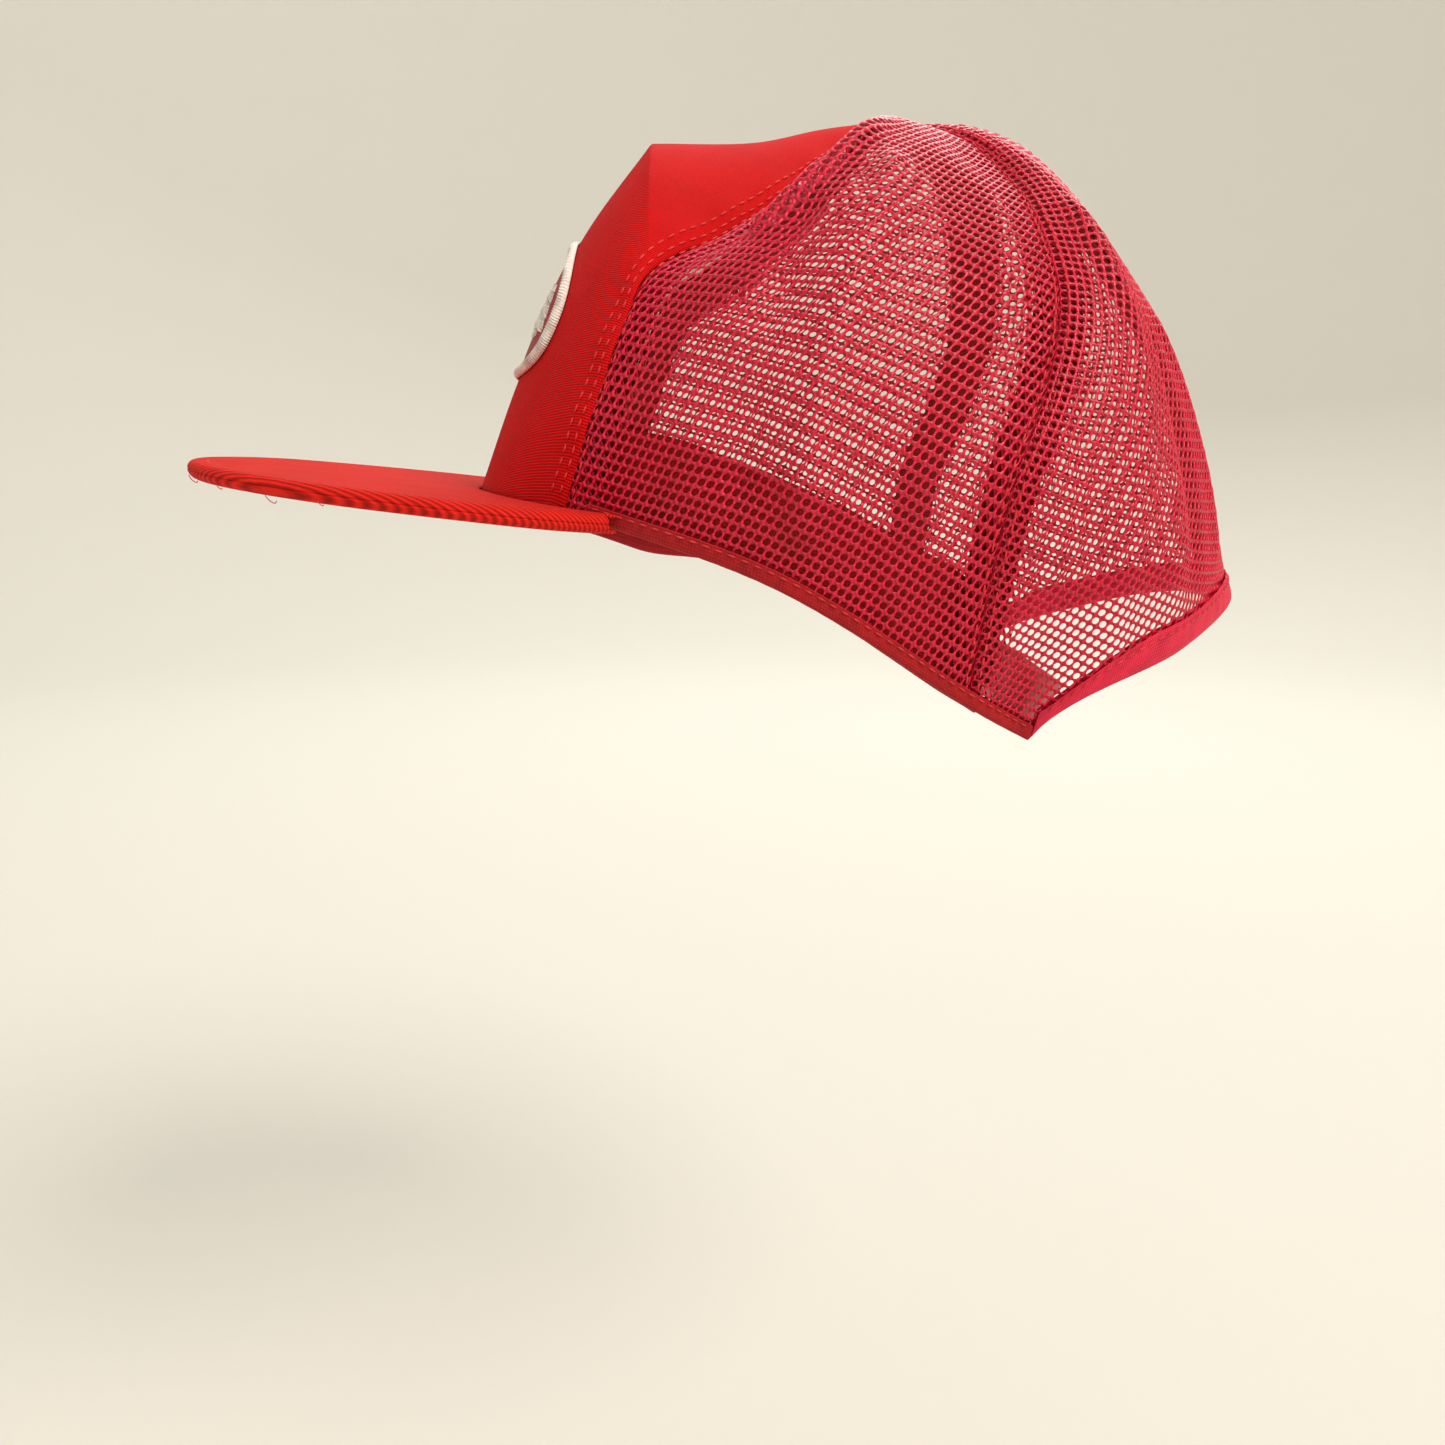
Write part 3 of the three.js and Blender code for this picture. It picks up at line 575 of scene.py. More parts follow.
def fine_cloth(name, dark, plain, light, thread, rough, sheen):
    """Plain woven or brushed cloth: crossed threads of a given width in millimetres, with a soft bloom, and
    painted shade in the dips between the threads.
    """
    material, tree, shader = fresh(name)
    cloth = add(tree, "ShaderNodeUVMap", uv_map="Cloth").outputs["UV"]
    waves = [
        add(
            tree, "ShaderNodeTexWave",
            {"Vector": cloth, "Scale": math.tau / 20 / thread, "Distortion": 0.8, "Detail": 1.0},
            wave_type="BANDS", bands_direction=way, wave_profile="SIN",
        ).outputs["Fac"]
        for way in ("X", "Y")
    ]
    weave = add(tree, "ShaderNodeMath", {0: waves[0], 1: waves[1]}, operation="MULTIPLY").outputs[0]
    broad = add(tree, "ShaderNodeTexNoise", {"Vector": cloth, "Scale": 0.16, "Detail": 5.0, "Roughness": 0.7})
    # The weave's share of the tone is painted shade: darker in the dips between the crossed threads, lighter
    # on their tops. The broad noise is random tone.
    tone = add(tree, "ShaderNodeMath", {0: weave, 1: 0.4}, operation="MULTIPLY").outputs[0]
    tone = add(
        tree, "ShaderNodeMath", {0: broad.outputs["Fac"], 1: 0.7, 2: tone}, operation="MULTIPLY_ADD"
    ).outputs[0]
    colour = add(
        tree, "ShaderNodeValToRGB", {"Fac": tone},
        [(0.2, dark), (0.5, plain), (0.9, light)]
    ).outputs["Color"]
    bump = add(tree, "ShaderNodeBump", {"Height": weave, "Strength": 0.6, "Distance": 0.12 * MM})
    tree.links.new(colour, shader.inputs["Base Color"])
    tree.links.new(bump.outputs["Normal"], shader.inputs["Normal"])
    shader.inputs["Roughness"].default_value = rough
    shader.inputs["Specular IOR Level"].default_value = 0.3
    shader.inputs["Sheen Weight"].default_value = sheen
    shader.inputs["Sheen Tint"].default_value = linear(light)
    return material


def satin_thread(name, dark, plain, light, thread):
    """Rayon embroidery thread in packed rows, with a silky gloss along each thread, painted into the colour
    as a highlight with painted shade between the threads.
    """
    material, tree, shader = fresh(name)
    cloth = add(tree, "ShaderNodeUVMap", uv_map="Cloth").outputs["UV"]
    threads = add(
        tree, "ShaderNodeTexWave",
        {"Vector": cloth, "Scale": math.tau / 20 / thread, "Distortion": 0.7, "Detail": 2.0},
        wave_type="BANDS", bands_direction="X", wave_profile="SIN",
    ).outputs["Fac"]
    broad = add(tree, "ShaderNodeTexNoise", {"Vector": cloth, "Scale": 0.8, "Detail": 3.0})
    # The threads' share of the tone is painted light: painted highlight along each thread, painted shade
    # between them. The broad noise is random tone.
    tone = add(
        tree, "ShaderNodeMath", {0: broad.outputs["Fac"], 1: 0.6}, operation="MULTIPLY"
    ).outputs[0]
    tone = add(tree, "ShaderNodeMath", {0: threads, 1: 0.45, 2: tone}, operation="MULTIPLY_ADD").outputs[0]
    colour = add(
        tree, "ShaderNodeValToRGB", {"Fac": tone},
        [(0.12, dark), (0.5, plain), (0.85, light)]
    ).outputs["Color"]
    bump = add(tree, "ShaderNodeBump", {"Height": threads, "Strength": 0.7, "Distance": 0.15 * MM})
    tree.links.new(colour, shader.inputs["Base Color"])
    tree.links.new(bump.outputs["Normal"], shader.inputs["Normal"])
    shader.inputs["Roughness"].default_value = 0.5
    shader.inputs["Specular IOR Level"].default_value = 0.3
    return material


def plain_noise(name, dark, plain, light, grain, rough, coat=0.0, subsurface=0.0, relief=0.1):
    """A cast or pressed finish in the object's own space: faint mottling over a grain in millimetres."""
    material, tree, shader = fresh(name)
    place = add(tree, "ShaderNodeTexCoord").outputs["Object"]
    fine = add(tree, "ShaderNodeTexNoise", {"Vector": place, "Scale": 1 / (grain * MM), "Detail": 4.0})
    broad = add(tree, "ShaderNodeTexNoise", {"Vector": place, "Scale": 60.0, "Detail": 4.0})
    tone = add(tree, "ShaderNodeMath", {0: fine.outputs["Fac"], 1: 0.35}, operation="MULTIPLY").outputs[0]
    tone = add(
        tree, "ShaderNodeMath", {0: broad.outputs["Fac"], 1: 0.65, 2: tone}, operation="MULTIPLY_ADD"
    ).outputs[0]
    colour = add(
        tree, "ShaderNodeValToRGB", {"Fac": tone},
        [(0.25, dark), (0.5, plain), (0.75, light)]
    ).outputs["Color"]
    gloss = add(
        tree, "ShaderNodeMapRange",
        {"Value": broad.outputs["Fac"], "From Min": 0.3, "From Max": 0.7,
         "To Min": rough - 0.06, "To Max": rough + 0.08},
    )
    bump = add(
        tree, "ShaderNodeBump", {"Height": fine.outputs["Fac"], "Strength": relief, "Distance": 0.1 * MM}
    )
    tree.links.new(colour, shader.inputs["Base Color"])
    tree.links.new(gloss.outputs["Result"], shader.inputs["Roughness"])
    tree.links.new(bump.outputs["Normal"], shader.inputs["Normal"])
    shader.inputs["Coat Weight"].default_value = coat
    shader.inputs["Subsurface Weight"].default_value = subsurface
    if subsurface:
        shader.inputs["Subsurface Radius"].default_value = (0.004, 0.001, 0.001)
    return material


# ---- Settings -------------------------------------------------------------------------------------


def colour_setting(name, description, value):
    return bpy.props.StringProperty(name=name, description=description, default=value, maxlen=7)


def size_setting(name, description, millimetres):
    return bpy.props.FloatProperty(
        name=name, description=description, default=millimetres * MM, unit="LENGTH")


class CapSizes(bpy.types.PropertyGroup):
    """Sizes of the cap's cloth, net and stitching."""

    hole_pitch: size_setting("Hole pitch", "Distance between holes along a knitted row", 2.05)
    row_pitch: size_setting("Row pitch", "Distance between knitted rows", 2.6)
    link_width: size_setting("Link width", "Width of the thin links between holes", 0.48)
    row_width: size_setting("Row width", "Width of the knitted rows", 0.98)
    net_thickness: size_setting("Net thickness", "Thickness of the net", 0.75)
    stitch_length: size_setting("Stitch length", "Length of one seam stitch", 2.3)
    rib_width: size_setting("Twill rib", "Width of one rib of the front twill", 0.6)
    bill_rib_width: size_setting("Bill rib", "Width of one ropey rib on the bill", 1.1)


class CapColours(bpy.types.PropertyGroup):
    """Colours of the cap, as sRGB hex."""

    front: colour_setting("Front twill", "Colour of the front panel", "#c80306")
    bill: colour_setting("Bill twill", "Colour of the bill's cover", "#c81a10")
    net: colour_setting("Net", "Colour of the net's thread", "#cc0430")
    binding: colour_setting("Binding", "Colour of the tape round the rear opening", "#d81e40")
    tape: colour_setting("Seam tape", "Colour of the tape inside the seams", "#8e0a14")
    sweatband: colour_setting("Sweatband", "Colour of the sweatband", "#a80d16")
    plastic: colour_setting("Snap strap", "Colour of the plastic strap", "#c01c30")
    emblem: colour_setting("Emblem thread", "Colour of the frame and the trees", "#f0e2d8")


def shade(colour, share):
    """A hex colour darkened, or lightened where share is over 1."""
    parts = [int(colour[k:k + 2], 16) for k in (1, 3, 5)]
    if share <= 1:
        mixed = [p * share for p in parts]
    else:
        # A lighter shade keeps its depth: it gains far more of its own colour than of white. These lighter
        # shades are used for painted highlights and for the light end of random tone.
        mixed = [p * share + (255 - p) * (share - 1) * 0.25 for p in parts]
    return "#" + "".join(f"{round(min(max(m, 0), 255)):02x}" for m in mixed)


def tone_and_painted_light(colour, dark, light):
    """A colour with a darker and a lighter shade of it: the ends reached by random tone, and in the cloths
    and threads also by painted shade and painted highlight.
    """
    return shade(colour, dark), colour, shade(colour, light)


def settings(context):
    return context.scene.cap_sizes, context.scene.cap_colours


def replace(made, *nodes):
    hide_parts(*nodes)
    return made


# ---- Pieces ---------------------------------------------------------------------------------------


class CAP_OT_front_panel(bpy.types.Operator):
    """Make the stiff twill front and the buckram behind it"""

    bl_idname = "cap.front_panel"
    bl_label = "Front panel"

    def execute(self, context):
        sizes, colours = settings(context)
        cloth = twill(
            "Cotton twill, piece dyed", *tone_and_painted_light(colours.front, 0.72, 1.16),
            sizes.rib_width / MM, 0.82, 0.55)

        def level(y):
            t = 2 * y - 1
            bent = np.sign(t) * np.abs(t) ** 1.25
            return np.where(bent <= 0, SHOULDER * (1 + bent), SHOULDER + (1 - SHOULDER) * bent)

        def place(x, y, z):
            along, up = (2 * x - 1) * 0.999, np.minimum(level(y), 0.99)
            points = crown_at(FRONT, along, up, 0.0)
            # Threads run straight across and up the cloth: height and depth together measure the way up.
            return points, np.stack([points[:, 0], (points[:, 1] + points[:, 2]) / 1.2], 1)

        bm = grid(84, 96)
        lay(bm, place)
        front = piece(bm, "front_twill_panel", cloth, SHELL, 0.0, 1)
        replace(front, "front_panel")
        FRONT.flat_area() / 1e6

        stiff = fine_cloth("Buckram, open weave", "#cfc6b4", "#e8e2d6", "#f6f2ea", 1.1, 0.9, 0.05)

        def behind(x, y, z):
            up = np.where(y <= 0.5, 2 * y * SHOULDER, SHOULDER + (2 * y - 1) * (BACKING_TOP - SHOULDER))
            up = np.maximum(up, 0.01)
            reach = 1 - BACKING_INSET * 2 / FRONT.width(up)
            along = (2 * x - 1) * reach
            return FRONT.at(along, up, BACKING_DEPTH), np.stack([along * 70, up * FRONT.height], 1)

        bm = grid(36, 48)
        lay(bm, behind)
        backing = piece(bm, "front_buckram", stiff, 1.0, 0.0, 1)
        replace(backing, "front_backing")
        return {"FINISHED"}


def net(panel, sizes, start, end, bottom, slant, depth):
    """Knitted net over part of a panel, and the function that lays it.

    start and end give the region in millimetres from the panel's first seam for the panel's width at a
    level, and bottom its lower edge. slant is which way the links lean: 1 or -1.
    """
    pitch, row = sizes.hole_pitch / MM, sizes.row_pitch / MM
    height = panel.height
    rows = int(height / row)
    widest = panel.widths.max()
    lean = slant * pitch / 2
    reach = abs(lean) * rows
    columns = int((widest + reach) / pitch) + 6
    first = -widest / 2 - pitch * 2 - (reach if lean > 0 else 0)

    def region(cell_x, cell_y):
        up = cell_y * row / height
        width = np.maximum(panel.width(up), 0.5)
        across = first + cell_x * pitch + cell_y * lean + width / 2
        return across, up, width

    bm = grid(columns, rows)
    bmesh.ops.scale(bm, verts=bm.verts, vec=(columns, rows, 1))
    centres = np.array([face.calc_center_median() for face in bm.faces])
    across, up, width = region(centres[:, 0], centres[:, 1])
    margin = pitch * 0.35
    outside = (across < start(width) - margin) | (across > end(width) + margin) | (width < pitch * 1.5)
    outside |= up < bottom(np.clip(across / width, 0, 1)) - 0.4 * row / height
    bmesh.ops.delete(bm, geom=[f for f, out in zip(bm.faces[:], outside) if out], context="FACES")
    # The rows are drawn flatter than they are, so that one even inset leaves wide rows and thin links.
    flatter = sizes.link_width / sizes.row_width
    bmesh.ops.scale(bm, verts=bm.verts, vec=(pitch, row * flatter, 1))
    bmesh.ops.translate(bm, verts=bm.verts, vec=(0, 0, 1))
    holes = bm.faces[:]
    bmesh.ops.inset_individual(bm, faces=holes, thickness=sizes.link_width / MM / 2, depth=0)
    bmesh.ops.translate(bm, verts=list({v for face in holes for v in face.verts}), vec=(0, 0, -1))
    bmesh.ops.delete(bm, geom=holes, context="FACES_ONLY")
    lower = bmesh.ops.duplicate(bm, geom=bm.verts[:] + bm.edges[:] + bm.faces[:])["geom"]
    bmesh.ops.scale(bm, verts=[v for v in lower if isinstance(v, bmesh.types.BMVert)], vec=(1, 1, -1))
    bmesh.ops.reverse_faces(bm, faces=[f for f in lower if isinstance(f, bmesh.types.BMFace)])
    bmesh.ops.remove_doubles(bm, verts=bm.verts, dist=1e-4)
    rim = [edge for edge in bm.edges if edge.is_boundary]
    bmesh.ops.bridge_loops(bm, edges=rim)
    half = sizes.net_thickness / MM / 2

    def place(x, y, z):
        cell_x, cell_y = x / pitch, y / (row * flatter)
        across, up, width = region(cell_x, cell_y)
        across = np.clip(across, start(width), end(width))
        along = np.clip(across / width, 0, 1)
        up = np.maximum(np.clip(up, 0, 0.99), bottom(along))
        jitter = 0.08 * np.sin(cell_x * 7.1 + cell_y * 3.7)
        points = crown_at(panel, along, up, z * half - depth + jitter)
        return points, np.stack([cell_x, cell_y], 1)

    return bm, place


def net_floor(along):
    """Lowest level of the back net: just inside the binding, or the rim at the corner."""
    return np.where(along < ARCH_START, 0, binding_top(along) - 3.5 / BACK.height)


class CAP_OT_net_panels(bpy.types.Operator):
    """Make the four knitted net panels and their seam allowances"""

    bl_idname = "cap.net_panels"
    bl_label = "Net panels"

    def execute(self, context):
        sizes, colours = settings(context)
        thread = net_thread(
            "Warp-knitted polyester net", *tone_and_painted_light(colours.net, 0.68, 1.38))
        pitch, row = sizes.hole_pitch, sizes.row_pitch
        yarn_share = 1 - (pitch - sizes.link_width) * (row - sizes.row_width) / (pitch * row)
        regions = {
            "": (lambda w: 0 * w, lambda w: w, 1, 0.0),
            "_front_allowance": (lambda w: 0 * w, lambda w: np.minimum(ALLOWANCE, w), -1, 1.0),
            "_rear_allowance": (lambda w: np.maximum(w - ALLOWANCE, 0), lambda w: w, -1, 1.0),
        }
        for part, panel in (("side", SIDE), ("back", BACK)):
            bottom = net_floor if part == "back" else lambda along: 0 * along
            for side, word in ((1, "left"), (-1, "right")):
                for suffix, (start, end, slant, depth) in regions.items():
                    bm, place = net(panel, sizes, start, end, bottom, slant, depth)
                    lay(bm, place, side)
                    made = piece(bm, f"{part}_net_{word}{suffix}", thread, subdivide=1)
                    if not suffix:
                        replace(made, f"{part}_mesh_{word}")
                        # The cut's area leaves out the arch opening and the net's own holes.
                        area = panel.flat_area() / 1e6 * (0.88 if part == "back" else 1) * yarn_share
        return {"FINISHED"}


class CAP_OT_seam_tapes(bpy.types.Operator):
    """Make the tapes sewn over the seams inside the crown"""

    bl_idname = "cap.seam_tapes"
    bl_label = "Seam tapes"

    def execute(self, context):
        colours = context.scene.cap_colours
        cloth = fine_cloth(
            "Polyester twill tape", *tone_and_painted_light(colours.tape, 0.72, 1.12),
            0.9, 0.8, 0.1)

        def tape(before, after, bottom, side, name, node):
            def place(x, y, z):
                up = bottom + (TAPE_TOP - bottom) * y
                distance = (x - 0.5) * TAPE_WIDTH
                reach = before.width(up) / (2 if before is FRONT else 1)
                first = before.at(1 + distance / reach, up, TAPE_DEPTH)
                if after is before:
                    second = mirrored(after.at(1 - distance / reach, up, TAPE_DEPTH))
                else:
                    second = after.at(distance / after.width(up), up, TAPE_DEPTH)
                points = np.where((distance < 0)[:, None], first, second)
                return points, np.stack([distance, up * PANEL_HEIGHT], 1)

            bm = grid(6, 60)
            lay(bm, place, side)
            made = piece(bm, name, cloth, 0.5, 0.0, 1)
            replace(made, node)

        for side, word in ((1, "left"), (-1, "right")):
            tape(FRONT, SIDE, TAPE_BOTTOM, side, f"front_tape_{word}", f"front_seam_tape_{word}")
            tape(SIDE, BACK, TAPE_BOTTOM, side, f"side_tape_{word}", f"side_seam_tape_{word}")
        tape(BACK, BACK, float(binding_top(1.0)) + 0.01, 1, "back_tape", "back_seam_tape")
        return {"FINISHED"}


class CAP_OT_binding(bpy.types.Operator):
    """Make the folded tape round the rear opening"""

    bl_idname = "cap.binding"
    bl_label = "Rear binding"

    def execute(self, context):
        colours = context.scene.cap_colours
        cloth = fine_cloth(
            "Polyester bias tape", *tone_and_painted_light(colours.binding, 0.7, 1.22),
            0.7, 0.62, 0.2)
        # Round the fold: how far out the tape stands, and its place from the lower edge to the upper.
        fold = [(1.05, 1.0), (1.25, 0.97), (1.1, 0.72), (1.25, 0.45), (1.3, 0.2), (1.1, 0.05), (0.6, -0.04),
                (0.0, -0.07), (-0.6, -0.04), (-1.1, 0.05), (-1.3, 0.2), (-1.2, 0.6), (-1.05, 1.0)]
        outs = np.array([f[0] for f in fold])
        heights = np.array([f[1] for f in fold])

        def place(x, y, z):
            side = 2 * x - 1
            along = 1 - np.abs(side) * (1 - ARCH_START)
            row = (1 - y) * (len(fold) - 1)
            out = np.interp(row, np.arange(len(fold)), outs)
            share = np.interp(row, np.arange(len(fold)), heights)
            low, high = arch_edge(along), binding_top(along)
            up = np.maximum(low + (high - low) * share, 0)
            drop = np.minimum(low + (high - low) * share, 0) * BACK.height
            ripple = 0.12 * np.sin(side * 90) * (share > 0.1)
            points = BACK.at(along, up, out + ripple)
            points[:, 2] += drop
            right = side > 1e-6
            points[right] *= (-1, 1, 1)
            points[np.abs(side) <= 1e-6, 0] = 0
            return points, np.stack([side * 105, share * 8], 1)

        bm = grid(120, len(fold) - 1)
        lay(bm, place)
        made = piece(bm, "rear_binding", cloth, 0.5, -1.0, 1)
        replace(made, "opening_binding")
        return {"FINISHED"}


def rim_path(steps=90, ahead=0.06):
    """The rim from beside the bill's end to the rear corner, with outward and upward directions."""
    lengths = [(1 - ahead) * SIDE.width(0), ARCH_START * BACK.width(0)]
    distances = np.linspace(0, sum(lengths), steps + 1)
    on_side = distances <= lengths[0]
    along_side = ahead + distances / SIDE.width(0)
    along_back = (distances - lengths[0]) / BACK.width(0)

    def edge(up, stand=0):
        on_panels = (SIDE.at(along_side.clip(0, 1), up, stand), BACK.at(along_back.clip(0, 1), up, stand))
        return np.where(on_side[:, None], *on_panels)

    low, high = edge(0), edge(0.03)
    out = edge(0, 1) - low
    for _ in range(6):
        out[1:-1] = (out[:-2] + out[1:-1] * 2 + out[2:]) / 4
    out /= np.linalg.norm(out, axis=1, keepdims=True)
    upward = high - low
    upward /= np.linalg.norm(upward, axis=1, keepdims=True)
    return low, out, upward


def sweatband_rails():
    """Points just under the rim and at the band's top edge, from the front centre back to a corner."""
    stations = []
    for along in (0, 0.2, 0.4, 0.6, 0.8, 0.93):
        length = FRONT_FACE_LINE.length / SHOULDER * (1 - along**2) + FRONT_SEAM_LINE.length * along**2
        stations.append((FRONT, along, length, 4.5))
    stations += [(SIDE, along, FRONT_SEAM_LINE.length, 4.5) for along in (0.05, 0.12, 0.2)]
    stations += [(SIDE, along, SIDE.height, 1.5) for along in (0.35, 0.5, 0.65, 0.8, 0.94)]
    stations += [(BACK, along, SIDE_LINES[2].length, 1.5) for along in (0.02, 0.05)]
    feet, heads = [], []
    for i, (panel, along, length, drop) in enumerate(stations):
        height = BAND_HEIGHT_AT_FRONT + (BAND_HEIGHT - BAND_HEIGHT_AT_FRONT) * i / (len(stations) - 1)
        foot = panel.at(along, 0)[0]
        head = panel.at(along, height / length)[0]
        feet.append(foot + (head - foot) * (-drop / height))
        heads.append(head)
    rails = []
    for rail in (feet, heads):
        rail = np.array(rail)
        rails.append(np.vstack([mirrored(rail[:0:-1]), rail]))
    return rails


class CAP_OT_sweatband(bpy.types.Operator):
    """Make the sweatband and the hem along the rim"""

    bl_idname = "cap.sweatband"
    bl_label = "Sweatband"

    def execute(self, context):
        colours = context.scene.cap_colours
        cloth = fine_cloth(
            "Brushed cotton sateen", *tone_and_painted_light(colours.sweatband, 0.75, 1.12), 0.8, 0.75, 0.25)
        feet, heads = sweatband_rails()

        def place(x, y, z):
            foot, head = spline(feet, x), spline(heads, x)
            ahead = spline(feet, np.minimum(x + 0.004, 1)) - spline(feet, np.maximum(x - 0.004, 0))
            outward = np.cross(ahead, head - foot)
            outward /= np.linalg.norm(outward, axis=1, keepdims=True)
            ripple = 0.35 * np.sin(x * 150) * y * (1 - y) * 2
            points = foot + (head - foot) * y[:, None] + outward * (ripple - BAND_DEPTH)[:, None]
            return points, np.stack([x * 420, y * 22], 1)

        bm = grid(160, 6)
        lay(bm, place)
        band = piece(bm, "sweatband_cotton_band", cloth, 1.0, 0.0, 1)
        replace(band, "sweatband")

        low, out, upward = rim_path()
        travel = np.concatenate([[0], np.cumsum(np.linalg.norm(np.diff(low, axis=0), axis=1))])
        section = [(0.9, 3.8), (1.05, 3.6), (1.0, 2.4), (1.15, 1.2), (1.0, 0.1), (0.5, -0.6), (-0.2, -0.8),
                   (-0.9, -0.5), (-1.3, 0.4), (-1.4, 2.0), (-1.5, 4.0)]
        outs, ups = np.array([s[0] for s in section]), np.array([s[1] for s in section])

        def hem(x, y, z):
            at = x * (len(low) - 1)
            i = np.minimum(at.astype(int), len(low) - 2)
            t = (at - i)[:, None]
            base, face, rise = (data[i] * (1 - t) + data[i + 1] * t for data in (low, out, upward))
            row = (1 - y) * (len(section) - 1)
            stand = np.interp(row, np.arange(len(section)), outs) + 0.1 * np.sin(x * 160)
            climb = np.interp(row, np.arange(len(section)), ups)
            points = base + face * stand[:, None] + rise * climb[:, None]
            return points, np.stack([np.interp(x, np.linspace(0, 1, len(travel)), travel), climb], 1)

        for side, word in ((1, "left"), (-1, "right")):
            bm = grid(110, len(section) - 1)
            lay(bm, hem, side)
            made = piece(bm, f"rim_hem_{word}", cloth, 0.5, -1.0, 1)
        return {"FINISHED"}


def bill_top(x, y):
    return BILL_TOP_AT_JOINT + BILL_SLOPE * (-y + BILL_ROOT_Y) - BILL_ARCH * (x / BILL_HALF_WIDTH) ** 2


def bill_rails():
    """The bill's rear and outer edges, seen from above."""
    rear = [FRONT.at(along, 0.01, 1.5)[0] for along in (0, 0.2, 0.4, 0.6, 0.8, 0.94)]
    rear += [SIDE.at(along, 0.02, 1.7)[0] for along in (0.03, 0.08, 0.13)]
    outer = []
    power = 2 / BILL_SQUARENESS
    reach = BILL_ROOT_Y - BILL_LENGTH - BILL_WIDEST_Y
    for degrees in range(0, 91, 10):
        angle = math.radians(degrees)
        cosine = max(math.cos(angle), 0)
        outer.append((BILL_HALF_WIDTH * math.sin(angle) ** power, BILL_WIDEST_Y + reach * cosine**power, 0))
    outer += [(BILL_HALF_WIDTH - 2, BILL_WIDEST_Y + 9.5, 0), (BILL_HALF_WIDTH - 6.5, BILL_WIDEST_Y + 17, 0),
              (BILL_HALF_WIDTH - 10.5, BILL_WIDEST_Y + 22, 0)]
    return [Line(np.vstack([mirrored(np.array(rail)[:0:-1]), rail])) for rail in (rear, outer)]


BILL_REAR, BILL_OUTER = bill_rails()


def on_bill(place, share, inset=0.0):
    """A place on the bill seen from above: across it, and from its rear edge to short of its outer one."""
    rear, outer = BILL_REAR.at(place), BILL_OUTER.at(place)
    rear[:, 2] = outer[:, 2] = 0
    tangent = BILL_OUTER.at(np.minimum(place + 0.002, 1)) - BILL_OUTER.at(np.maximum(place - 0.002, 0))
    tangent[:, 2] = 0
    tangent /= np.linalg.norm(tangent, axis=1, keepdims=True)
    inward = np.stack([-tangent[:, 1], tangent[:, 0], np.zeros(len(tangent))], 1)
    outer = outer + inward * np.broadcast_to(inset, len(outer))[:, None]
    return rear + (outer - rear) * share[:, None]


class CAP_OT_bill(bpy.types.Operator):
    """Make the bill's twill covers, and give its board a finish"""

    bl_idname = "cap.bill"
    bl_label = "Bill"

    def execute(self, context):
        sizes, colours = settings(context)
        cloth = twill(
            "Cotton drill, ropey twill", *tone_and_painted_light(colours.bill, 0.76, 1.18),
            sizes.bill_rib_width / MM, 0.78, 0.8, 0.55)
        half = BILL_THICKNESS / 2
        flat_rows, round_rows = 22, 6

        def cover(top):
            def place(x, y, z):
                step = (1 - y if top else y) * (flat_rows + round_rows)
                flat_share = np.minimum(step / flat_rows, 1)
                angle = np.clip(step - flat_rows, 0, None) / round_rows * math.pi / 2
                inset = half * (1 - np.sin(angle))
                points = on_bill(x, flat_share, np.where(angle > 0, inset, half))
                drop = half * (1 - np.cos(angle))
                sag = 0.1 * np.sin(x * 37) * np.sin(flat_share * 9) * (1 - smoothstep(0, 0.3, angle))
                surface = bill_top(points[:, 0], points[:, 1])
                rise = surface - drop + sag if top else surface - BILL_THICKNESS + drop + sag
                points[:, 2] = rise
                # Height joins the way forward, so that the ribs run on over the rounded edge.
                return points, np.stack([points[:, 0], points[:, 1] + points[:, 2]], 1)

            return place

        for top, name, node in (
            (True, "bill_top_twill", "bill_top_cover"),
            (False, "bill_under_twill", "bill_under_cover"),
        ):
            bm = grid(150, flat_rows + round_rows)
            lay(bm, cover(top))
            made = piece(bm, name, cloth, 0.8, -1.0, 1)
            replace(made, node)
        board = plain_noise("Pressed bill board", "#c2b697", "#d9cfb8", "#e9e2d0", 0.6, 0.85)
        kept_board = bpy.data.objects["bill_board"]
        kept_board.data.materials.clear()
        kept_board.data.materials.append(board)
        return {"FINISHED"}


def on_face(across, above, out):
    """A place on the front face: across and above the emblem's centre, and out from the twill."""
    up = (EMBLEM_HEIGHT_ON_FACE + above) / FRONT_FACE_LINE.length * SHOULDER
    edge = FRONT_SEAM_LINE.at(up)[:, 0]
    return FRONT.at(across / edge, up, SHELL / 2 + out)


def rounded(angle, radius):
    """A point on the emblem's rounded outline."""
    cosine, sine = np.cos(angle), np.sin(angle)
    power = EMBLEM_SQUARENESS
    stretch = (np.abs(cosine) ** power + np.abs(sine) ** power) ** (-1 / power)
    return EMBLEM_HALF_WIDTH * radius * stretch * cosine, EMBLEM_HALF_HEIGHT * radius * stretch * sine


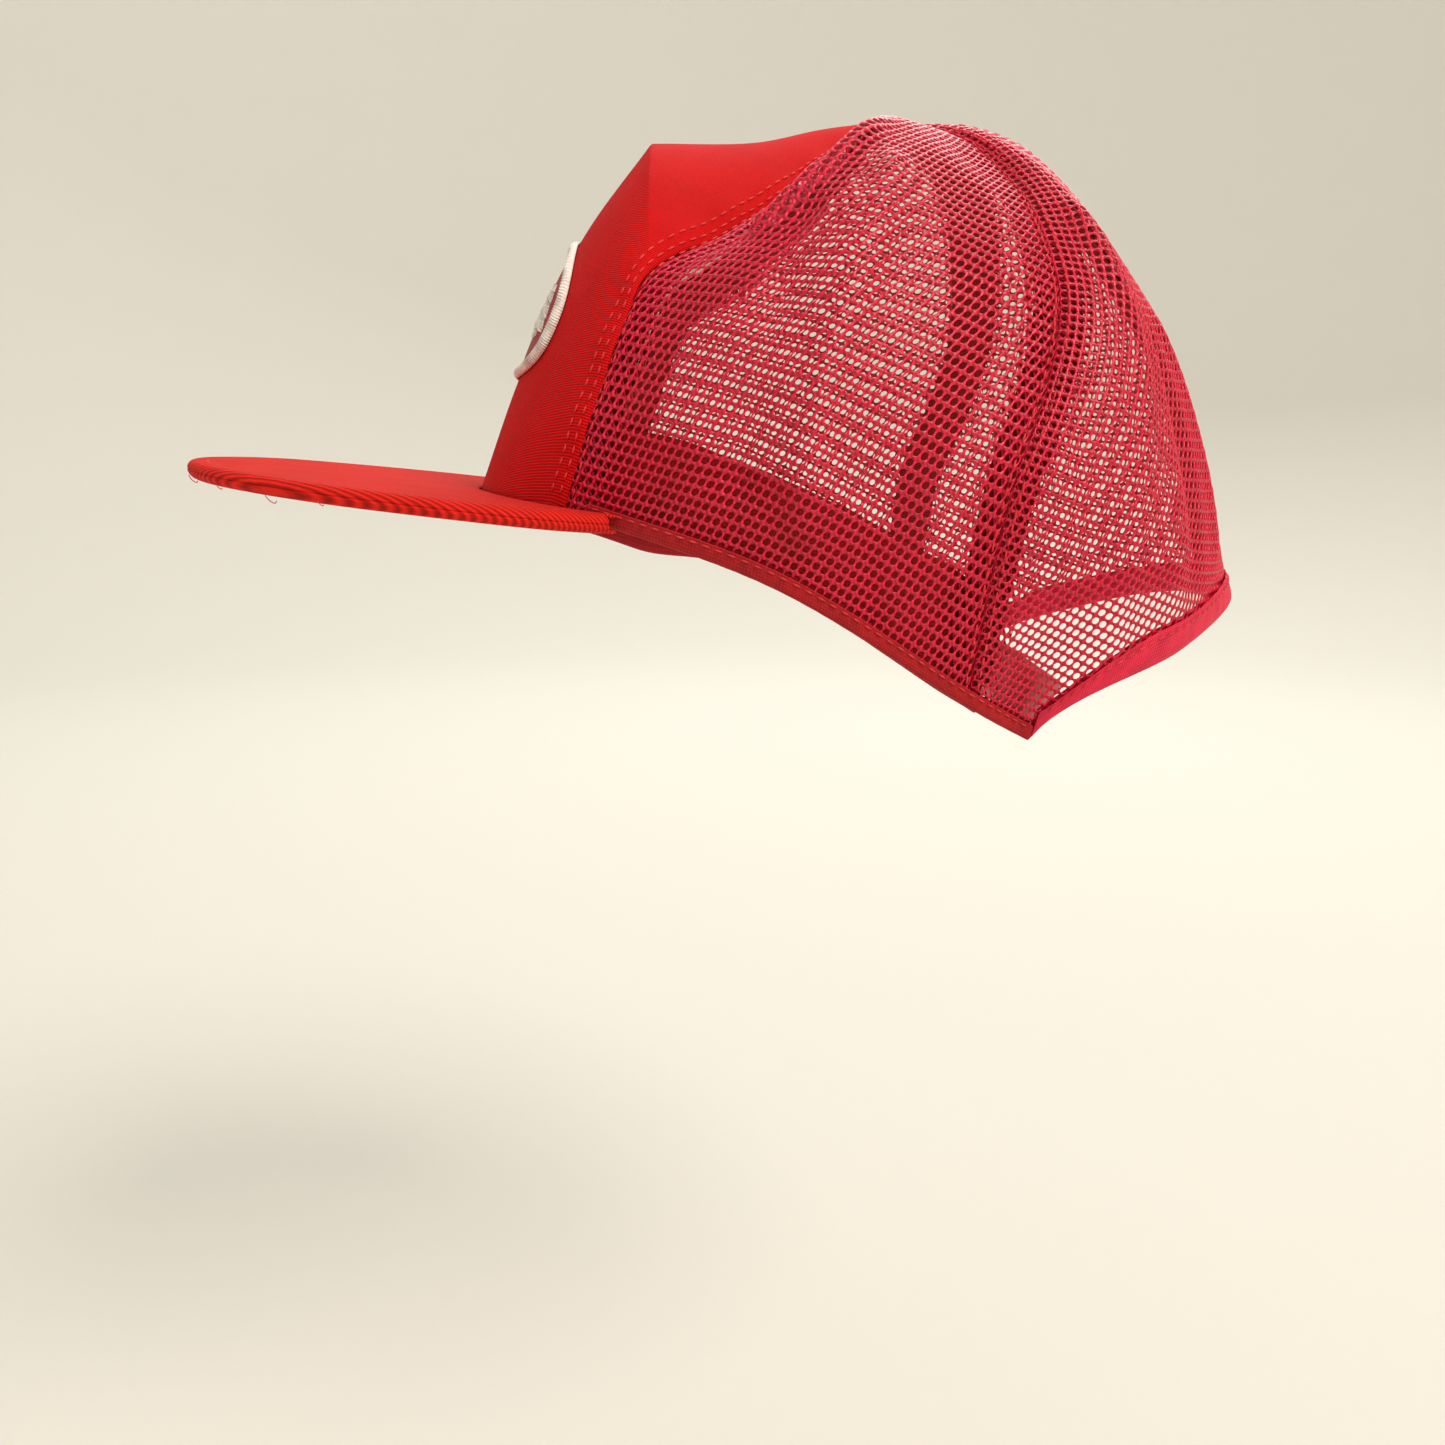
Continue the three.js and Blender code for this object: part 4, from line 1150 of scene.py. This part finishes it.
class CAP_OT_emblem(bpy.types.Operator):
    """Make the embroidered emblem: a rounded frame with three pine trees"""

    bl_idname = "cap.emblem"
    bl_label = "Emblem"

    def execute(self, context):
        colours = context.scene.cap_colours
        # The lightest colour of each thread is its painted highlight along the threads. The darkest is its
        # painted shade between them and the dark end of its random tone.
        fill = satin_thread("Rayon satin fill", "#780208", "#98040c", "#b80a12", 0.55)
        cream = satin_thread(
            "Rayon chain stitch", shade(colours.emblem, 0.74), colours.emblem, "#fffaf4", 0.6)

        def ground(x, y, z):
            a, b = 2 * x - 1, 2 * y - 1
            disc_x, disc_y = a * np.sqrt(1 - b**2 / 2), b * np.sqrt(1 - a**2 / 2)
            radius, angle = np.hypot(disc_x, disc_y), np.arctan2(disc_y, disc_x)
            across, above = rounded(angle, radius * inner)
            stand = 0.25 + 0.5 * np.sqrt(np.maximum(1 - radius**8, 0))
            return on_face(across, above, stand), np.stack([across, above], 1)

        inner = 1 - EMBLEM_BORDER / EMBLEM_HALF_WIDTH - 0.02
        bm = grid(64, 40)
        lay(bm, ground)
        made = piece(bm, "emblem_satin_ground", fill, 0.6, -1.0, 1)
        replace(made, "emblem_ground")

        def border(x, y, z):
            angle = x * math.tau
            lift = np.sin(np.clip(y, 0, 1) * math.pi)
            rib = 0.17 * np.cos(angle * EMBLEM_BORDER_STITCHES)
            across, above = rounded(angle, inner + 0.015 + (1 - inner - 0.015) * (1 - y))
            stand = 0.1 + (1.15 + rib) * lift**0.6
            return on_face(across, above, stand), np.stack([angle * 32, y * 4], 1)

        bm = grid(EMBLEM_BORDER_STITCHES * 4, 7)
        lay(bm, border)
        bmesh.ops.remove_doubles(bm, verts=bm.verts, dist=1e-6)
        bmesh.ops.reverse_faces(bm, faces=bm.faces)
        made = piece(bm, "emblem_chain_border", cream, 0.5, -1.0, 0)
        replace(made, "emblem_border")

        self.tree("emblem_pine_tree", "emblem_tree", 0, 1, 1, cream)
        for side, word in ((1, "left"), (-1, "right")):
            self.tree(
                f"emblem_small_pine_{word}", f"emblem_small_tree_{word}",
                SIDE_TREE_PLACE, SIDE_TREE_SCALE, side, cream)
        return {"FINISHED"}

    def tree(self, name, node, middle, scale, side, cream):
        """A pine tree in rows of raised satin stitches."""
        outline = TREE_HALF_OUTLINE + [(-x, y) for x, y in TREE_HALF_OUTLINE[:0:-1]]
        bm = bmesh.new()
        bm.faces.new([bm.verts.new((x, y, 0)) for x, y in reversed(outline)])
        bmesh.ops.scale(bm, verts=bm.verts, vec=(scale, scale, 1))
        cuts = [((0, k * SATIN_ROW, 0), (0, 1, 0)) for k in range(-28, 31)]
        cuts += [((k * SATIN_LENGTH, 0, 0), (1, 0, 0)) for k in range(-5, 6)]
        for place, facing in cuts:
            bmesh.ops.bisect_plane(
                bm, geom=bm.verts[:] + bm.edges[:] + bm.faces[:], plane_co=place, plane_no=facing)
        bmesh.ops.recalc_face_normals(bm, faces=bm.faces)
        if sum(face.normal.z for face in bm.faces) < 0:
            bmesh.ops.reverse_faces(bm, faces=bm.faces)

        def stitched(x, y, z):
            ridge = np.where(np.rint(y / SATIN_ROW).astype(int) % 2 == 0, 0.16, -0.12)
            return on_face(x + middle, y, 1.5 + ridge), np.stack([y, x], 1)

        lay(bm, stitched, side)
        made = piece(bm, name, cream, 0.9, -1.0, 0)
        replace(made, node)


def strap_point(x, out, z):
    """A place on the snap strap: along it, out from its middle and up its width."""
    y = out - x * x / (2 * STRAP_RADIUS)
    cosine, sine = math.cos(STRAP_TILT), math.sin(STRAP_TILT)
    return np.stack([x, y * cosine - z * sine, y * sine + z * cosine], 1) + np.array(STRAP_CENTRE)


class CAP_OT_snap_strap(bpy.types.Operator):
    """Make both halves of the plastic snap strap, from their sewn ends to their tips"""

    bl_idname = "cap.snap_strap"
    bl_label = "Snap strap"

    def execute(self, context):
        colours = context.scene.cap_colours
        plastic = plain_noise(
            "Moulded polyethylene", *tone_and_painted_light(colours.plastic, 0.82, 1.1),
            0.5, 0.34, coat=0.1, subsurface=0.15, relief=0.08)
        for side, out, holes, word, body in (
            (1, HOLE_STRAP_OUT, True, "hole", "hole_strap_half"),
            (-1, 0.0, False, "peg", "peg_strap_half"),
        ):
            self.half(side, out, holes, word, body, plastic)
        return {"FINISHED"}

    def half(self, side, out, holes, word, body, plastic):
        # Columns fall on the snaps and halfway between them, with a few at the tip, up to the bend and on
        # the tab that runs under the crown's corner.
        snaps = [(k - (SNAP_COUNT - 1) / 2) * SNAP_PITCH for k in range(SNAP_COUNT)]
        marks = [-STRAP_END_X, -31.5]
        marks += [snaps[0] + SNAP_PITCH / 2 * k for k in range(2 * SNAP_COUNT - 1)]
        marks += [33, 40, 47, STRAP_HINGE_X]
        marks += [STRAP_HINGE_X + STRAP_TAB_LENGTH * k / 5 for k in range(1, 6)]
        columns = len(marks) - 1
        bm = grid(columns, 4)
        for vertex in bm.verts:
            vertex.co = (marks[round(vertex.co.x * columns)], (vertex.co.y - 0.5) * STRAP_WIDTH, 0)
        for x in snaps if holes else ():
            centre = min(bm.verts, key=lambda v: (v.co.x - x) ** 2 + v.co.y**2)
            others = set(bm.verts)
            bmesh.ops.bevel(
                bm, geom=[centre], offset=HOLE_RADIUS, affect="VERTICES", segments=4, profile=0.5,
                material=-1)
            ring = [v for v in bm.verts if v not in others]
            for vertex in ring:
                away = Vector((vertex.co.x - x, vertex.co.y, 0))
                vertex.co = Vector((x, 0, 0)) + away.normalized() * HOLE_RADIUS
            inner = [f for f in bm.faces if all(v in ring for v in f.verts)]
            bmesh.ops.delete(bm, geom=inner, context="FACES")

        def tab(share, height):
            """From the bend to under the crown's rear corner."""
            rise = (STRAP_TAB_ABOVE_RIM + STRAP_WIDTH / 2 + height) / SIDE_LINES[3].length
            inner = BACK.at(np.full(len(share), STRAP_TAB_ALONG), rise, STRAP_TAB_DEPTH)
            outer = strap_point(np.full(len(share), float(STRAP_HINGE_X)), out, height)
            t = share[:, None]
            bow = np.sin(t * math.pi) * np.array(STRAP_TAB_BOW)
            return outer * (1 - t) + inner * t + bow

        def place(x, y, z):
            round_tip = np.clip((STRAP_TIP_ROUND - STRAP_END_X - x) / STRAP_TIP_ROUND, 0, 1)
            height = y * np.sqrt(np.maximum(1 - 0.85 * round_tip**2.2, 0))
            share = np.clip((x - STRAP_HINGE_X) / STRAP_TAB_LENGTH, 0, 1)
            points = np.where((x <= STRAP_HINGE_X)[:, None], strap_point(x, out, height), tab(share, height))
            return points, np.stack([x, y], 1)

        lay(bm, place, side)
        # Along the strap and up its width, the faces of the grid look inward, so they are turned.
        bmesh.ops.reverse_faces(bm, faces=bm.faces)
        name = f"{word}_strap_strip"
        strip = piece(bm, name, plastic, STRAP_THICKNESS, 0.0, 0, body=None, bevel=0.25)
        node = "hole_strap" if holes else "peg_strap"
        replace(strip, node, "strap_tab_left" if side > 0 else "strap_tab_right")
        bend = strap_point(np.array([STRAP_HINGE_X + 4.0, STRAP_HINGE_X - 5.0]), out, np.array([0.0, 0.0]))
        bend *= (side * MM, MM, MM)
        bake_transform(strip)
        if not holes:
            bm = bmesh.new()
            for x in snaps:
                foot = strap_point(np.array([-x]), 0.0, np.array([0.0]))[0]
                ahead = strap_point(np.array([-x]), 1.0, np.array([0.0]))[0] - foot
                turn = Vector(ahead).to_track_quat("Z", "Y").to_matrix().to_4x4()
                foot = Matrix.Translation(Vector(foot) * MM) @ turn
                stem = PEG_STEM * MM
                bmesh.ops.create_cone(
                    bm, cap_ends=True, segments=20, radius1=PEG_RADIUS * MM, radius2=PEG_RADIUS * 0.9 * MM,
                    depth=stem, matrix=foot @ Matrix.Translation((0, 0, stem / 2)))
                head = [PEG_HEAD_RADIUS * MM, PEG_HEAD_RADIUS * MM, PEG_HEAD_HALF_HEIGHT * MM, 1]
                middle = Matrix.Translation((0, 0, PEG_HEAD_MIDDLE * MM))
                bmesh.ops.create_uvsphere(
                    bm, u_segments=20, v_segments=10, radius=1, matrix=foot @ middle @ Matrix.Diagonal(head))
            piece(bm, "snap_pegs", plastic, body=body)
        return {"FINISHED"}


class CAP_OT_stitching(bpy.types.Operator):
    """Sew the visible rows of stitches and leave a few loose thread ends"""

    bl_idname = "cap.stitching"
    bl_label = "Stitching"

    def execute(self, context):
        sizes = context.scene.cap_sizes
        length = sizes.stitch_length / MM
        red = plain_noise("Spun polyester sewing thread", "#a00a14", "#d01c24", "#ea4a4c", 0.3, 0.6)
        steps = 240

        def row(bm, panel, distance, from_start, bottom, top, out, side, **kw):
            ups = np.linspace(bottom, top, steps)
            width = np.maximum(panel.width(ups), 1)
            if panel is FRONT:
                along = 1 - distance * 2 / width
            else:
                along = distance / width if from_start else 1 - distance / width
            keep = width > distance * 3
            points = crown_at(panel, along[keep], ups[keep], out)
            normals = panel.at(along[keep], ups[keep], 1) - panel.at(along[keep], ups[keep], 0)
            sew(bm, points, normals, length=length, side=side, **kw)

        bm = bmesh.new()
        for side in (1, -1):
            row(bm, FRONT, 1.7, False, 0.02, 0.92, 0.55, side)
            row(bm, FRONT, 4.6, False, 0.02, 0.90, 0.55, side)
            row(bm, SIDE, 1.6, True, 0.02, 0.92, 0.5, side)
            row(bm, SIDE, 1.8, False, 0.02, 0.92, 0.5, side)
            row(bm, BACK, 1.8, True, 0.02, 0.92, 0.5, side)
            row(bm, BACK, 1.8, False, float(binding_top(1.0)) + 0.01, 0.92, 0.5, side)
        piece(bm, "seam_stitches", red)

        bm = bmesh.new()
        sides = np.linspace(-0.98, 0.98, steps)
        along = 1 - np.abs(sides) * (1 - ARCH_START)
        level = arch_edge(along) + (binding_top(along) - arch_edge(along)) * 0.8
        points = BACK.at(along, level, 1.35)
        normals = BACK.at(along, level, 1.0) - BACK.at(along, level, 0.0)
        right = sides > 0
        points[right] *= (-1, 1, 1)
        normals[right] *= (-1, 1, 1)
        sew(bm, points, normals, length=length, radius=0.24)
        low, out, upward = rim_path()
        for side in (1, -1):
            sew(bm, low + out * 1.2 + upward * 2.9, out, length=length, radius=0.24, side=side)
        piece(bm, "edge_stitches", red)

        bm = bmesh.new()
        places = np.linspace(0.03, 0.97, 400)
        points = on_bill(places, np.ones(len(places)), 5.0)
        points[:, 2] = bill_top(points[:, 0], points[:, 1])
        sew(bm, points, np.tile((0.0, 0.0, 1.0), (len(points), 1)), length=length, radius=0.22, sink=0.2)
        piece(bm, "bill_stitches", red)
        self.loose_ends(red)
        return {"FINISHED"}

    def loose_ends(self, red):
        """Short frayed ends under the bill's edge."""
        curve = bpy.data.curves.new("loose_thread_ends", "CURVE")
        curve.dimensions = "3D"
        curve.bevel_depth = 0.11 * MM
        curve.bevel_resolution = 1
        curve.resolution_u = 4
        shape = np.array([(0, 0, 0), (0.2, 0.3, -0.4), (0.15, 0.75, -0.7), (0.4, 0.95, -0.55)])
        for place, size in ((0.62, 2.6), (0.70, 1.6), (0.755, 3.2), (0.80, 1.4)):
            base = on_bill(np.array([place]), np.array([1.0]), 0.3)[0]
            base[2] = bill_top(base[0], base[1]) - BILL_THICKNESS + 0.6
            points = base + size * shape
            line = curve.splines.new("BEZIER")
            line.bezier_points.add(len(points) - 1)
            for knot, point in zip(line.bezier_points, points):
                knot.co = point * MM
                knot.handle_left_type = knot.handle_right_type = "AUTO"
        curve.materials.append(red)
        made = bpy.data.objects.new("loose_thread_ends", curve)
        bpy.context.scene.collection.objects.link(made)
        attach(made, HEAD)


class CAP_OT_stage(bpy.types.Operator):
    """Set the floor, the lights and the camera"""

    bl_idname = "cap.stage"
    bl_label = "Stage"

    def execute(self, context):
        scene = context.scene
        # A round studio: a flat floor that curves up into its wall with no corner.
        bm = bmesh.new()
        floor_z, flat, round_up, wall = -0.30, 2.0, 1.6, 4.5
        profile = [(0, floor_z), (flat, floor_z)]
        for k in range(1, 13):
            angle = k / 12 * math.pi / 2
            profile.append((flat + round_up * math.sin(angle), floor_z + round_up * (1 - math.cos(angle))))
        profile.append((flat + round_up, wall))
        knots = [bm.verts.new((x, 0, z)) for x, z in profile]
        edges = [bm.edges.new(pair) for pair in zip(knots, knots[1:])]
        bmesh.ops.spin(
            bm, geom=knots + edges, cent=(0, 0, 0), axis=(0, 0, 1), angle=math.tau, steps=64, use_merge=True)
        bmesh.ops.remove_doubles(bm, verts=bm.verts, dist=1e-5)
        bmesh.ops.recalc_face_normals(bm, faces=bm.faces)
        if bm.faces[0].normal.z < 0:
            bmesh.ops.reverse_faces(bm, faces=bm.faces)
        for face in bm.faces:
            face.smooth = True
        mesh = bpy.data.meshes.new("studio_floor")
        bm.to_mesh(mesh)
        bm.free()
        material, _, shader = fresh("Matt painted floor")
        shader.inputs["Base Color"].default_value = linear("#d2d0c8")
        shader.inputs["Roughness"].default_value = 0.9
        mesh.materials.append(material)
        floor = bpy.data.objects.new("studio_floor", mesh)
        scene.collection.objects.link(floor)

        world = bpy.data.worlds.new("Studio")
        world.use_nodes = True
        back = world.node_tree.nodes["Background"]
        back.inputs["Color"].default_value = linear("#dcd6ca")
        back.inputs["Strength"].default_value = 0.8
        scene.world = world
        scene.view_settings.view_transform = "Standard"

        for name, spot, aim, size, power, colour in (
            ("key_light", (1.7, 1.5, 2.3), (0, 0, 0.05), 1.5, 84.0, "#fff6ec"),
            ("backdrop_light", (-0.9, -0.9, 2.0), (-3.4, 0, 0.5), 1.2, 22.0, "#ffffff"),
            ("fill_light", (2.4, -1.6, 0.9), (0, -0.05, 0.05), 2.2, 12.0, "#f4f6ff"),
            ("rear_light", (-1.8, 0.6, 1.6), (0, 0, 0.05), 1.8, 30.0, "#ffffff"),
        ):
            light = bpy.data.lights.new(name, "AREA")
            light.shape = "DISK"
            light.size = size
            light.energy = power
            light.color = linear(colour)[:3]
            made = bpy.data.objects.new(name, light)
            made.location = spot
            made.rotation_euler = (Vector(aim) - Vector(spot)).to_track_quat("-Z", "Y").to_euler()
            scene.collection.objects.link(made)

        lens = bpy.data.cameras.new("camera")
        lens.sensor_width = 36
        lens.lens = 35.73
        lens.clip_start = 0.01
        camera = bpy.data.objects.new("camera", lens)
        camera.location = (0.4028, -0.01484, 0.0398)
        camera.rotation_euler = (math.radians(90 - 10.72), 0, math.radians(90))
        scene.collection.objects.link(camera)
        scene.camera = camera
        return {"FINISHED"}


class CAP_PT_panel(bpy.types.Panel):
    """Sizes, colours and makers of the cap's pieces"""

    bl_idname = "CAP_PT_panel"
    bl_label = "Trucker Mesh Cap"
    bl_space_type = "VIEW_3D"
    bl_region_type = "UI"
    bl_category = "Cap"

    def draw(self, context):
        for group in settings(context):
            for key in group.__annotations__:
                self.layout.prop(group, key)
        for operator in OPERATORS:
            self.layout.operator(operator.bl_idname)


OPERATORS = (
    CAP_OT_stage,
    CAP_OT_front_panel,
    CAP_OT_net_panels,
    CAP_OT_seam_tapes,
    CAP_OT_binding,
    CAP_OT_sweatband,
    CAP_OT_bill,
    CAP_OT_emblem,
    CAP_OT_snap_strap,
    CAP_OT_stitching,
)
CLASSES = (CapSizes, CapColours) + OPERATORS + (CAP_PT_panel,)


def register():
    for made in CLASSES:
        bpy.utils.register_class(made)
    bpy.types.Scene.cap_sizes = bpy.props.PointerProperty(type=CapSizes)
    bpy.types.Scene.cap_colours = bpy.props.PointerProperty(type=CapColours)


def unregister():
    del bpy.types.Scene.cap_colours
    del bpy.types.Scene.cap_sizes
    for made in reversed(CLASSES):
        bpy.utils.unregister_class(made)


def main():
    register()
    for operator in OPERATORS:
        family, name = operator.bl_idname.split(".")
        getattr(getattr(bpy.ops, family), name)()


if __name__ == "__main__":
    main()
